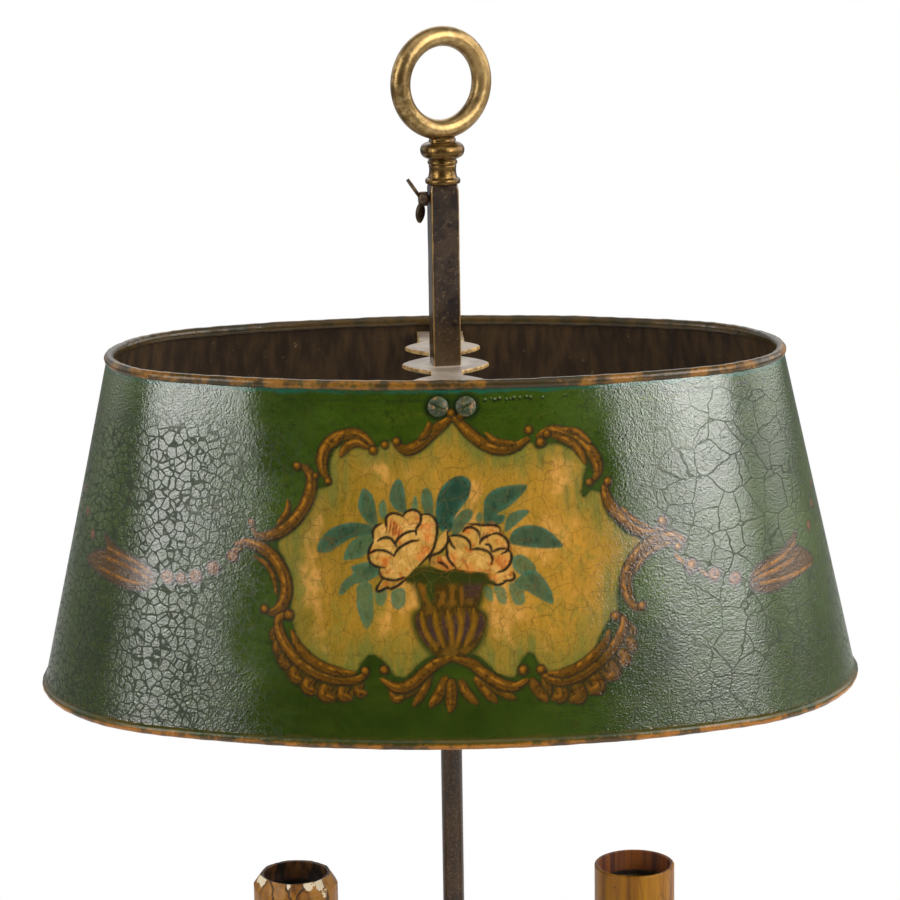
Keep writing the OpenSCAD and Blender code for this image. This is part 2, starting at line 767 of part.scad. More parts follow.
module wing_screw() color(aged_brass) translate([0, 0, key_z]) rotate([0, 0, sleeve_turn]) {
    face = sleeve_w / 2;
    translate([-face - 0.5, 0, 0]) rotate([0, 90, 0])
        cylinder(r = key_r, h = face + 0.5 - liner_out - run_gap);
    translate([-face - 0.4, 0, 0]) rotate([0, -90, 0]) rotate_extrude() union() {
        square([knob_r - 1, knob_h]);
        translate([0, 1]) square([knob_r, knob_h - 2]);
        translate([knob_r - 1, 1]) circle(1);
        translate([knob_r - 1, knob_h - 1]) circle(1);
    }
    translate([-face - knob_h / 2 - 1.4, 0, 0]) rotate([0, -34, 0])
        translate([0, 0, 1.5]) wing();
    translate([-face - knob_h / 2 - 1.2, 0, 0]) rotate([0, 186, 0]) rotate([0, 0, 50])
        translate([0, 0, 1.5]) wing();
}

// ---- nodes ----

felt_pad();
bottom_plate();
base_weight();
base_dish();
base_rim();
cord_inlet();
terminal_block();
clamp_bar();
base_nut();
column();
hub();
hub_knop();
rod();
color(brass) mirror([1, 0, 0]) arm(reach_left, arm_top_left);  // arm_left
color(brass) arm(reach_right, arm_top_right);  // arm_right
color(brass) at_left() cup();  // cup_left
color(brass) at_right() cup();  // cup_right
color(brass) at_left() translate([0, 0, cup_h]) pan();  // pan_left
color(brass) at_right() translate([0, 0, cup_h]) pan();  // pan_right
color(steel) translate([-reach_left, 0, 0]) stem(arm_top_left);  // stem_left
color(steel) translate([reach_right, 0, 0]) stem(arm_top_right);  // stem_right
color(steel) {  // stem_nuts
    at_left() translate([0, 0, cup_h + pan_t]) stem_nut();
    at_right() translate([0, 0, cup_h + pan_t]) stem_nut();
}
color(bakelite) mirror([1, 0, 0]) lead(reach_left, arm_top_left);  // lead_left
color(bakelite) lead(reach_right, arm_top_right);  // lead_right
color(bakelite) translate([-reach_left, 0, holder_low(arm_top_left)]) lampholder();  // lampholder_left
color(bakelite) translate([reach_right, 0, holder_low(arm_top_right)]) lampholder();  // lampholder_right
color(brass) translate([-reach_left, 0, holder_low(arm_top_left)]) shell();  // shell_left
color(brass) translate([reach_right, 0, holder_low(arm_top_right)]) shell();  // shell_right
color(brass) translate([-reach_left, 0, holder_low(arm_top_left)]) contact();  // contact_left
color(brass) translate([reach_right, 0, holder_low(arm_top_right)]) contact();  // contact_right
color(amber) at_left() translate([0, 0, cup_h + pan_t]) candle_left();  // candle_sleeve_left
color(amber) at_right() translate([0, 0, cup_h + pan_t]) candle_right();  // candle_sleeve_right
guide_liner();
shade_sleeve();
bridge();
bridge_screws();
shade();
top_wire();
bottom_wire();
wing_screw();
finial_collar();
finial_ring();
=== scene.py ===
import math

import bpy
import numpy as np
from mathutils import Matrix, Vector


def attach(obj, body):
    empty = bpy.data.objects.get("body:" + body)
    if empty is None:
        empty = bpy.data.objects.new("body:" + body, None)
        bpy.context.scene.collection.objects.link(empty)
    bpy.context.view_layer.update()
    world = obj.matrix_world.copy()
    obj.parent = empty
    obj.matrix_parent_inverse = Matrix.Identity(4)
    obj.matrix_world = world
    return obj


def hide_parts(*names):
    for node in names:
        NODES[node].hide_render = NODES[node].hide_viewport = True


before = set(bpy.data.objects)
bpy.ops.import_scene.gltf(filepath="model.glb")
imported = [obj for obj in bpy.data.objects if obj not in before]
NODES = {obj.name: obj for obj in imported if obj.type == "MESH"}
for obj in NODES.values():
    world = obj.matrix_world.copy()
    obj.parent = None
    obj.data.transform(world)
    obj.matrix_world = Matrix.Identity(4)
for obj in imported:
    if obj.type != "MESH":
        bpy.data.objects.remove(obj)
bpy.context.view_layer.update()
MM = 0.001
PI = math.pi
SHADE_Z = 400.2            # the shade's lower rim, mm above the table

# ---------------------------------------------------------------- camera, fitted to the photo

CAM_DISTANCE, CAM_HEIGHT = 1392.9, 427.0                                # mm, from the lower rim
CAM_PITCH, CAM_ROLL, CAM_PAN, CAM_SIDE = 12.928, -0.871, 0.060, -0.36   # degrees
LENS, SENSOR = 124.22, 36


def make_camera():
    data = bpy.data.cameras.new("camera")
    cam = bpy.data.objects.new("camera", data)
    bpy.context.scene.collection.objects.link(cam)
    data.sensor_fit = "HORIZONTAL"
    data.sensor_width = SENSOR
    data.lens = LENS
    data.clip_start, data.clip_end = 0.05, 60
    side = math.radians(CAM_SIDE)
    cam.location = (-CAM_DISTANCE * MM * math.sin(side), -CAM_DISTANCE * MM * math.cos(side),
                    (SHADE_Z + CAM_HEIGHT) * MM)
    turn = (Matrix.Rotation(-side - math.radians(CAM_PAN), 3, "Z")
            @ Matrix.Rotation(math.radians(90 - CAM_PITCH), 3, "X")
            @ Matrix.Rotation(math.radians(CAM_ROLL), 3, "Z"))
    cam.rotation_euler = turn.to_euler()
    bpy.context.scene.camera = cam


make_camera()

# ---------------------------------------------------------------- shader nodes


class Graph:
    """A short way to write shader nodes. A mask is 1 where something shows and 0 elsewhere."""

    def __init__(self, name, world=False):
        self.m = (bpy.data.worlds if world else bpy.data.materials).new(name)
        self.m.use_nodes = True
        self.t = self.m.node_tree
        self.t.nodes.clear()
        self.out = self.new("OutputWorld" if world else "OutputMaterial").inputs["Surface"]
        self.co = self.new("TexCoord").outputs["Generated" if world else "Object"]

    def put(self, sock, v):
        """Sets a socket to another one's link, or to a number or a colour."""
        if isinstance(v, bpy.types.NodeSocket):
            self.t.links.new(v, sock)
        else:
            sock.default_value = (*v, 1) if sock.type == "RGBA" and len(v) == 3 else v

    def new(self, kind, ins=None, **props):
        n = self.t.nodes.new("ShaderNode" + kind)
        for k, v in props.items():
            setattr(n, k, v)
        for k, v in (ins or {}).items():
            self.put(n.inputs[k], v)
        return n

    def scaled(self, scale, turn=(0, 0, 0)):
        return self.new("Mapping", {"Vector": self.co, "Scale": scale,
                                    "Rotation": turn}).outputs[0]

    def noise(self, scale, detail=3, rough=0.5, colour=False):
        """Noise; a scale of three numbers stretches it."""
        vec = self.co
        if isinstance(scale, tuple):
            scale, vec = 1, self.scaled(scale)
        n = self.new("TexNoise", {"Vector": vec, "Scale": scale, "Detail": detail,
                                  "Roughness": rough})
        return n.outputs["Color" if colour else "Fac"]

    def spots(self, scale, detail, rough, *limits):
        return self.span(self.noise(scale, detail, rough), *limits)

    def cracks(self, scale, vec, thin, thick):
        """A mask of the lines between cells."""
        n = self.new("TexVoronoi", {"Vector": vec, "Scale": scale}, feature="DISTANCE_TO_EDGE")
        return self.fall(n.outputs["Distance"], thin, thick)

    def math(self, op, *ins):
        first = ins[0]
        for v in ins[1:]:
            first = self.new("Math", {0: first, 1: v}, operation=op).outputs[0]
        return first

    def add(self, *ins):
        return self.math("ADD", *ins)

    def sub(self, *ins):
        return self.math("SUBTRACT", *ins)

    def mul(self, *ins):
        return self.math("MULTIPLY", *ins)

    def span(self, v, low, high, at_low=0.0, at_high=1.0):
        """Rises softly from at_low to at_high while v goes from low to high."""
        ins = dict(enumerate((v, low, high, at_low, at_high)))
        return self.new("MapRange", ins, clamp=True, interpolation_type="SMOOTHSTEP").outputs[0]

    def fall(self, v, low, high):
        return self.span(v, low, high, 1.0, 0.0)

    def mix(self, fac, a, b, how="MIX"):
        return self.new("Mix", {0: fac, 6: a, 7: b}, data_type="RGBA",
                        blend_type=how).outputs[2]

    def over(self, under, colour, strength, *masks, how="MIX"):
        """A colour laid over another where all the masks show, with that strength."""
        return self.mix(self.mul(*masks, strength), under, colour, how)

    def axis(self, which, vec=None):
        return self.new("SeparateXYZ", {0: vec or self.co}).outputs["XYZ".index(which)]

    def radius(self):
        """Distance from the lamp's axis."""
        x, y = self.axis("X"), self.axis("Y")
        square = self.add(self.mul(x, x), self.mul(y, y))
        return self.new("Math", {0: square}, operation="SQRT").outputs[0]

    def vector(self, op, a, b, key=1, out=0):
        return self.new("VectorMath", {0: a, key: b}, operation=op).outputs[out]

    def moved(self, vec, scale, detail, amount):
        """vec pushed about by a colour noise."""
        noise = self.vector("SUBTRACT", self.noise(scale, detail, colour=True), (0.5, 0.5, 0.5))
        return self.vector("ADD", vec, self.vector("SCALE", noise, amount, "Scale"))

    def normal(self):
        return self.new("NewGeometry").outputs["Normal"]

    def bump(self, height, strength, dist):
        return self.new("Bump", {"Strength": strength, "Distance": dist,
                                 "Height": height}).outputs[0]

    def attr(self, name, out="Fac"):
        return self.new("Attribute", attribute_name=name).outputs[out]

    def finish(self, base, rough, metal, normal, **more):
        ins = {"Base Color": base, "Roughness": rough, "Metallic": metal, "Normal": normal}
        ins.update((k.replace("_", " "), v) for k, v in more.items())
        self.put(self.out, self.new("BsdfPrincipled", ins).outputs[0])
        return self.m


def lin(*rgb):
    """An 8-bit screen colour as linear light."""
    c = np.array(rgb) / 255
    return np.where(c > 10 / 255, ((c + 0.055) / 1.055) ** 2.4, c / 12.92)


# ---------------------------------------------------------------- meshes, from points in mm


def grid_faces(rows, cols, closed=False, start=0):
    """Faces of a grid whose columns close on themselves, and its rows too if closed."""
    i = np.arange(rows if closed else rows - 1)[:, None]
    j = np.arange(cols)[None, :]
    a, d, k = i * cols, (i + 1) % rows * cols, (j + 1) % cols
    return start + np.stack([a + j, a + k, d + k, d + j], -1).reshape(-1, 4)


def grid_mesh(name, points, closed=False, flip=False, sharp=None):
    """A mesh object from a (rows, columns, 3) array of points."""
    faces = grid_faces(*points.shape[:2], closed)
    return mesh_from(name, points.reshape(-1, 3), faces[:, ::-1] if flip else faces, sharp)


def mesh_from(name, points, faces, sharp=None):
    """A smooth mesh object; edges bent by more than sharp degrees stay sharp."""
    me = bpy.data.meshes.new(name)
    n, k = faces.shape
    me.vertices.add(len(points))
    me.vertices.foreach_set("co", np.ascontiguousarray(points * MM, np.float32).ravel())
    me.loops.add(n * k)
    me.loops.foreach_set("vertex_index", np.ascontiguousarray(faces, np.int32).ravel())
    me.polygons.add(n)
    me.polygons.foreach_set("loop_start", np.arange(0, n * k, k, dtype=np.int32))
    me.polygons.foreach_set("use_smooth", np.ones(n, bool))
    me.update(calc_edges=True)
    me.validate()
    if sharp:
        me.set_sharp_from_angle(angle=math.radians(sharp))
    o = bpy.data.objects.new(name, me)
    bpy.context.scene.collection.objects.link(o)
    return o


# ---------------------------------------------------------------- the shade's form (mm)

END_C, END_R, TAPER, SHADE_H = 95.0, 95.0, 34.5, 156.0
SHEET, BEAD_R, WALL_IN = 0.8, 2.3, 1.2
SIDE_K, SIDE_OFF = END_C * 12 / 5, END_C * 13 / 5
SIDE_R = END_R + SIDE_OFF
PHI = math.atan2(5, 12)
SLOPE = math.atan(TAPER / (SHADE_H - 2 * BEAD_R))
SHEET_IN = SHEET / math.cos(SLOPE)     # the sheet's thickness, measured level
HALF_SIDE = SIDE_R * PHI               # arc length of half a side at the lower rim
END_LEN = END_R * (PI - 2 * PHI)
AROUND = 4 * HALF_SIDE + 2 * END_LEN
HALF = AROUND / 2
SHEET_LOW = 3.26                       # the sheet ends this far from both edges, in the rolls
SHEET_STEP, FRONT_STEP, BACK_STEP, END_STEP = 0.5, 0.5, 0.6, 0.75
PAINTED = 112                          # the fine columns reach this far across


def oval(u, off, z):
    """Points of the shade: u is the arc length along the lower rim from the middle of the
    front towards +X, off the distance from that rim (negative inward), z the height over it."""
    u = (np.asarray(u, float) + HALF) % AROUND - HALF
    s, a = np.sign(u + 1e-12), np.abs(u)
    front = a <= HALF_SIDE
    end = (~front) & (a <= HALF_SIDE + END_LEN)
    ang = np.where(front, a / SIDE_R, np.where(end, PHI + (a - HALF_SIDE) / END_R,
                                               PI - (HALF - a) / SIDE_R))
    cx = np.where(end, END_C, 0.0)
    cy = np.where(front, SIDE_K, np.where(end, 0.0, -SIDE_K))
    r = np.where(end, END_R, SIDE_R) + off
    x, y = s * (cx + r * np.sin(ang)), cy - r * np.cos(ang)
    return np.stack([x, y, np.broadcast_to(z + SHADE_Z, x.shape)], -1)


def wall_off(z):
    """The sheet's outside, measured inward from the lower rim's outer edge."""
    return -WALL_IN - (np.asarray(z, float) - BEAD_R) * math.tan(SLOPE)


def unrolled(a, z):
    """How far across the sheet the arc length a along the lower rim is at the height z."""
    off = wall_off(z)
    return (np.minimum(a, HALF_SIDE) * (SIDE_R + off) / SIDE_R
            + np.clip(a - HALF_SIDE, 0, END_LEN) * (END_R + off) / END_R)


def columns():
    """Values of u, closer together where the sheet is painted."""
    marks, u = [], -HALF
    while u < HALF - 1e-6:
        marks.append(u)
        a = abs(u)
        u += FRONT_STEP if a < PAINTED else BACK_STEP if HALF - a < PAINTED else END_STEP
    return (np.array(marks) + HALF) * AROUND / (u + HALF) - HALF


def wobble(u, z):
    """Slight unevenness of a sheet that was rolled and soldered by hand."""
    w = 2 * PI / AROUND
    return (0.22 * np.sin(3 * w * u + 0.6) + 0.16 * np.sin(7 * w * u + 2.1 + z / 70)
            + 0.10 * np.sin(13 * w * u + 0.9 - z / 40) + 0.06 * np.sin(29 * w * u + z / 23))


# ---------------------------------------------------------------- what is painted on the sheet
# All in tenths of a millimetre on the sheet: x from the middle and y up the slope, in turn.
# In SCROLLS, LOBES, GARLAND, REEDS, GAPS and NECK each line starts with its width, and in
# LEAVES with its tone. BEADS, BUDS and STAINS hold a radius, x and y.

FIELD = [
    17,1420, -84,1348, -167,1313, -214,1339, -271,1326, -323,1308, -388,1347, -459,1320,
    -504,1262, -514,1149, -586,1121, -604,1069, -655,972, -741,894, -720,817, -694,727, -687,606,
    -679,536, -653,446, -560,372, -473,331, -402,342, -344,412, -275,379, -241,327, -189,319,
    -97,396, 7,413, 124,410, 209,330, 287,310, 301,353, 354,411, 423,330, 533,341, 622,379,
    650,429, 696,517, 742,566, 743,635, 757,704, 795,792, 855,866, 779,915, 712,993, 677,1083,
    633,1103, 597,1079, 598,1157, 617,1229, 564,1276, 472,1315, 401,1292, 367,1320, 314,1296,
    205,1282, 119,1336, 55,1389
]
SCROLLS = [
    (34, 31,1440, -26,1402, -69,1366, -117,1324, -166,1303, -204,1317, -218,1336), (20, -68,1418,
    -80,1382, -112,1346), (36, -318,1324, -346,1350, -383,1369, -437,1366, -493,1343, -528,1302,
    -541,1258, -537,1212, -513,1164), (26, -337,1312, -383,1333, -430,1316, -457,1274), (22,
    -450,1361, -468,1346, -496,1312), (36, -653,1230, -611,1212, -589,1162, -605,1089, -646,1016,
    -703,959, -772,920, -836,913, -859,944), (18, -695,1072, -701,1026, -744,966), (38, -937,869,
    -888,882, -821,863, -761,818, -719,747, -710,675, -734,612, -774,583, -809,598), (16,
    -855,823, -799,790, -765,733, -753,661), (36, -694,577, -742,558, -743,503, -708,434,
    -647,371, -568,326, -483,306, -402,305, -356,330), (34, -288,305, -221,272, -156,294,
    -102,342, -51,380, 17,400), (34, 29,1445, 68,1408, 112,1363, 169,1320, 235,1299, 301,1309,
    355,1338), (20, 175,1368, 219,1333, 299,1321), (36, 401,1350, 450,1372, 499,1363, 560,1338,
    619,1289, 655,1233, 662,1180, 639,1141), (24, 465,1348, 535,1322, 582,1277, 608,1222), (20,
    509,1374, 573,1361, 632,1310), (36, 704,1139, 693,1106, 707,1052, 752,991, 814,938, 880,904,
    949,906, 970,940), (18, 772,1019, 817,965, 893,923), (38, 1028,829, 1047,856, 995,878,
    928,869, 863,838, 811,782, 783,711, 789,639, 821,583, 854,583), (16, 1000,848, 930,832,
    865,792, 826,730), (36, 735,556, 772,526, 756,470, 718,415, 655,359, 580,311, 506,287,
    447,290, 404,321), (34, 21,398, 96,377, 155,330, 227,283, 287,271, 338,295), (30, -685,505,
    -663,450, -613,396, -550,358, -475,336, -410,332), (30, 705,485, 680,435, 622,378, 555,336,
    485,316, 435,320)
]
FRINGE = [
    (-753,500, -740,435, -710,380, -663,328, -600,286, -530,262, -455,256, -390,270), (789,490,
    783,425, 750,370, 702,319, 632,274, 553,251, 473,248, 410,260)
]
LOBES = [
    (26, -88,334, -154,266, -226,230), (24, -84,327, -109,262, -153,199), (32, -16,308, -44,247,
    -79,196), (34, 11,294, 9,232, 4,173), (28, 54,293, 78,246, 118,203), (30, 122,306, 165,251,
    201,209), (26, 171,290, 229,249, 283,219), (22, -752,517, -768,486, -758,458), (24, -741,466,
    -754,430, -729,407), (26, -701,416, -727,373, -697,348), (28, -652,367, -682,317, -648,290),
    (30, -586,326, -621,269, -582,244), (30, -515,300, -547,241, -506,218), (28, -446,295,
    -466,241, -430,223), (24, -388,296, -393,253, -362,246), (22, -252,267, -234,224, -202,229),
    (22, 779,519, 807,480, 799,454), (24, 766,464, 806,420, 788,390), (26, 735,416, 777,364,
    751,333), (28, 680,364, 729,308, 696,279), (30, 612,321, 656,253, 616,227), (30, 538,290,
    573,217, 531,198), (28, 469,284, 493,222, 453,210), (24, 416,294, 424,238, 390,230), (24,
    360,289, 386,247, 424,204)
]
BEADS = [
    (17,-213,1339), (16,-264,1324), (18,-315,1300), (15,-515,1162), (13,-569,1185),
    (17,-653,1225), (16,-866,970), (18,-810,596), (21,-699,577), (18,-363,345), (19,-280,351),
    (17,24,1460), (16,67,1447), (18,360,1378), (20,411,1323), (16,624,1139), (18,706,1137),
    (23,952,947), (20,1026,829), (20,854,587), (21,732,551), (19,399,340), (21,322,341),
    (16,440,1358), (28,1087,745)
]
GARLAND = [
    (22, 1012,794, 1045,762, 1077,744), (26, 1390,628, 1440,651, 1524,663, 1620,681, 1684,703),
    (22, 1408,664, 1477,689, 1580,715, 1684,764), (22, 1428,618, 1534,618, 1659,620, 1804,633),
    (18, 1129,715, 1167,684), (24, -1343,673, -1401,702, -1488,725, -1579,737, -1662,740), (22,
    -1348,708, -1418,744, -1513,765, -1610,785), (20, -1374,661, -1463,659, -1577,676, -1683,692),
    (20, -883,891, -921,854, -972,834)
]
HUSKS = [
    (1380,640, 1400,685, 1470,715, 1580,745, 1684,805, 1665,745, 1720,720, 1820,655, 1710,620,
    1600,595, 1500,578, 1420,588, 1385,610), (-1330,685, -1350,730, -1430,765, -1530,790,
    -1630,840, -1620,780, -1700,755, -1780,705, -1680,670, -1570,645, -1460,630, -1380,640)
]
BUDS = [
    (24,1086,732), (26,1196,690), (26,1298,661), (19,1814,803), (17,1895,882), (15,1941,965),
    (26,-1044,759), (26,-1130,718), (26,-1267,703), (19,-1743,821), (17,-1822,911),
    (15,-1899,996), (22,-954,818), (22,-1198,704)
]
LEAVES = [
    (0, -46,994, -43,1080, -17,1140, 30,1179, 76,1185, 108,1154, 96,1091, 61,1045, 35,1006,
    20,950, -20,947), (0.35, -108,1101, -99,1130, -77,1132, -61,1100, -58,1020, -86,1019,
    -103,1047), (0.7, -150,1061, -136,1102, -125,1081, -124,1043, -145,1040), (0.25, -246,1107,
    -230,1154, -203,1175, -184,1141, -174,1068, -176,1028, -216,1040, -242,1074), (0.6, -293,1054,
    -278,1086, -260,1065, -262,1006, -286,1011), (0.3, -383,1068, -361,1133, -323,1107, -306,1055,
    -301,975, -337,980, -373,1023), (0.35, 23,946, 32,996, 68,1036, 109,1038, 113,1011, 88,977,
    54,938, 28,930), (0.6, 126,1011, 149,1029, 155,997, 137,981), (0.15, 159,1027, 170,1089,
    226,1131, 340,1141, 340,1112, 276,1052, 220,1018, 251,1012, 246,984, 205,968, 164,981), (0.35,
    250,957, 271,1014, 334,1033, 358,1020, 311,979, 260,940), (0.15, 269,902, 294,948, 357,965,
    432,945, 504,872, 455,860, 356,869, 286,884), (0.55, 284,788, 285,828, 331,836, 386,779,
    356,751, 310,755), (0.35, 291,727, 366,770, 417,734, 453,670, 457,621, 413,636, 353,674,
    305,698), (0.8, 158,705, 191,695, 195,644, 167,654), (0.75, 201,704, 249,693, 251,630,
    220,643), (0.7, 266,714, 319,702, 335,632, 289,629), (0.2, -566,856, -550,910, -498,960,
    -412,986, -327,973, -318,937, -401,921, -462,889, -512,856), (0.45, -451,826, -428,887,
    -377,926, -325,929, -314,891, -366,840, -427,824), (0.4, -473,677, -455,726, -410,767,
    -417,793, -354,814, -303,810, -289,771, -340,735, -411,714, -451,677), (0.6, -395,667,
    -394,707, -361,729, -328,711, -322,627, -326,564, -352,525, -377,566, -395,623), (0.75,
    -314,694, -282,714, -261,675, -281,629, -310,639), (0.7, -242,685, -191,702, -183,640,
    -211,611, -239,627)
]
PETALS = [
    (-321,927, -315,966, -293,981, -263,984, -259,1014, -232,1027, -189,1014, -165,1038,
    -132,1041, -112,1024, -79,1024, -49,1000, -41,960, -47,907, -68,854, -102,821, -142,788,
    -183,748, -236,737, -283,748, -296,794, -329,810, -342,840, -333,877, -318,900), (-71,841,
    -41,907, -1,955, 5,907, -31,860), (10,926, 46,929, 73,945, 80,969, 107,978, 147,974, 207,969,
    230,955, 236,935, 259,914, 267,887, 280,847, 275,807, 251,781, 204,761, 157,768, 97,775,
    44,786, 15,813, 1,853, 1,893), (180,730, 197,749, 244,771, 284,767, 292,746, 270,728, 230,711,
    190,719), (-306,694, -283,740, -236,735, -183,745, -210,717, -263,704), (-75,806, -67,841,
    -8,840, 18,807, 31,786, -22,781)
]
INK = [
    (-318,914, -320,947, -307,970, -283,982), (-263,967, -261,1007, -239,1026, -209,1024,
    -186,1011), (-189,1018, -165,1038, -135,1040, -112,1021, -114,988, -130,961, -133,934),
    (-109,1021, -79,1022, -53,1004, -41,967, -47,914, -65,861, -102,821, -122,801), (-224,888,
    -214,914, -180,941, -140,951, -130,938), (-231,841, -208,875, -160,904, -120,911), (-301,907,
    -274,921, -244,918, -224,894, -218,881), (-335,854, -305,867, -268,864, -241,851, -230,840),
    (-318,904, -335,874, -341,840, -329,810, -299,795, -269,791), (-294,791, -291,761, -270,744,
    -226,738, -183,751), (-283,741, -307,701, -297,689, -263,704, -243,701, -210,718, -176,745),
    (3,947, 3,900, -28,860, -71,841, -75,808), (93,978, 127,976, 147,972, 200,970, 226,960,
    232,941), (70,945, 87,962, 113,961, 136,944, 143,917), (10,926, 46,929, 79,919, 99,895,
    102,872), (9,920, 19,893, 35,870), (0,887, 2,840, 18,810, 38,790), (99,868, 139,869, 178,856,
    195,829, 192,803), (165,890, 185,883, 195,856), (186,929, 219,934, 253,914, 266,887, 262,860,
    235,845), (198,856, 232,868, 262,864), (265,867, 278,840, 274,807, 251,778, 217,765),
    (284,767, 291,746, 280,731, 243,728), (177,725, 216,712, 250,721), (142,891, 149,907, 166,920,
    186,928), (-42,815, -15,806, 4,787)
]
HATCH = [
    (-256,994, -262,941), (-239,1001, -251,934), (-226,994, -236,926), (-214,982, -223,928),
    (-201,969, -211,926), (163,943, 149,909), (174,940, 166,911), (183,935, 174,908), (-65,821,
    -49,806), (-28,827, -22,801)
]
STAINS = [
    (22,-212,948), (18,-230,968), (26,-96,964), (24,-76,921), (22,-88,868), (20,-269,820),
    (20,-115,841), (22,97,788), (30,241,808), (22,197,739), (20,25,840), (24,192,957),
    (18,93,955), (16,-32,814), (18,-5,814)
]
URN = [
    -170,774, -171,745, -141,724, -119,670, -113,619, -140,587, -140,536, -115,479, -66,421,
    -15,384, 57,383, 84,415, 127,454, 157,518, 162,575, 132,612, 142,655, 151,705, 177,733,
    156,757, 91,777, -9,786, -110,787
]
REEDS = [
    (22, -113,600, -100,522, -49,435), (25, -56,608, -49,536, -20,449), (23, -1,607, 12,535,
    19,448), (25, 46,614, 58,545, 38,448), (27, 112,609, 113,544, 72,448)
]
GAPS = [
    (19, -81,587, -72,522, -37,464), (16, -24,586, -13,521, -1,470), (17, 25,585, 35,535, 28,477),
    (22, 83,602, 82,534, 57,469), (20, 142,597, 142,540, 112,476), (13, -130,594, -124,529,
    -82,450)
]
NECK = [
    (24, -120,731, -96,673, -81,630), (22, -18,687, -26,651, -39,625), (18, 19,715, 20,629), (14,
    60,714, 61,628)
]


def points(flat):
    return np.reshape(flat, (-1, 2)) / 10


def lines_of(rows, unit=10):
    """The first number and the points of each row."""
    return [(row[0] / unit, points(row[1:])) for row in rows]


def curve(pts, closed=False, step=0.25):
    """Points close together on a smooth curve through pts."""
    p = np.array(pts, float)
    q = (np.vstack([p[-1], p, p[:2]]) if closed
         else np.vstack([2 * p[0] - p[1], p, 2 * p[-1] - p[-2]]))
    out = []
    for i in range(1, len(q) - 2):
        n = max(2, int(np.linalg.norm(q[i + 1] - q[i]) / step))
        t = np.linspace(0, 1, n, endpoint=False)[:, None]
        out.append(0.5 * (2 * q[i] + (q[i + 1] - q[i - 1]) * t
                          + (2 * q[i - 1] - 5 * q[i] + 4 * q[i + 1] - q[i + 2]) * t ** 2
                          + (3 * q[i] - q[i - 1] - 3 * q[i + 1] + q[i + 2]) * t ** 3))
    out.append(q[-2:-1])
    return np.vstack(out)


def smooth(x, lo, hi):
    t = np.clip((x - lo) / (hi - lo), 0, 1)
    return t * t * (3 - 2 * t)


def blot(a, b, size, seed):
    """Soft noise from 0 to 1 over the sheet, in three octaves."""
    total, amp, norm = 0.0, 1.0, 0.0
    for octave in range(3):
        tab = np.random.default_rng(seed * 7 + octave).random((256, 256))
        x, y = a / size + 97.3, b / size + 41.7
        i, j = np.floor(x).astype(int), np.floor(y).astype(int)
        fx, fy = x - i, y - j
        fx, fy = fx * fx * (3 - 2 * fx), fy * fy * (3 - 2 * fy)
        low, high = (tab[i % 256, k % 256] * (1 - fx) + tab[(i + 1) % 256, k % 256] * fx
                     for k in (j, j + 1))
        total, norm = total + amp * (low * (1 - fy) + high * fy), norm + amp
        amp, size = amp / 2, size / 2.1
    return total / norm


def spots(a, b, size, seed, lo, hi):
    return smooth(blot(a, b, size, seed), lo, hi)


def blend(a, b, t):
    """From the colour a to b by the share t."""
    t = np.asarray(t)[..., None]
    return a * (1 - t) + b * t


def inside_of(pts, a, b):
    """Whether points lie inside a closed line, by crossings."""
    hit = np.zeros(len(a), bool)
    for (x0, y0), (x1, y1) in zip(pts, np.roll(pts, -1, 0)):
        if y0 != y1:
            hit ^= ((y0 > b) != (y1 > b)) & (a < (x1 - x0) * (b - y0) / (y1 - y0) + x0)
    return hit


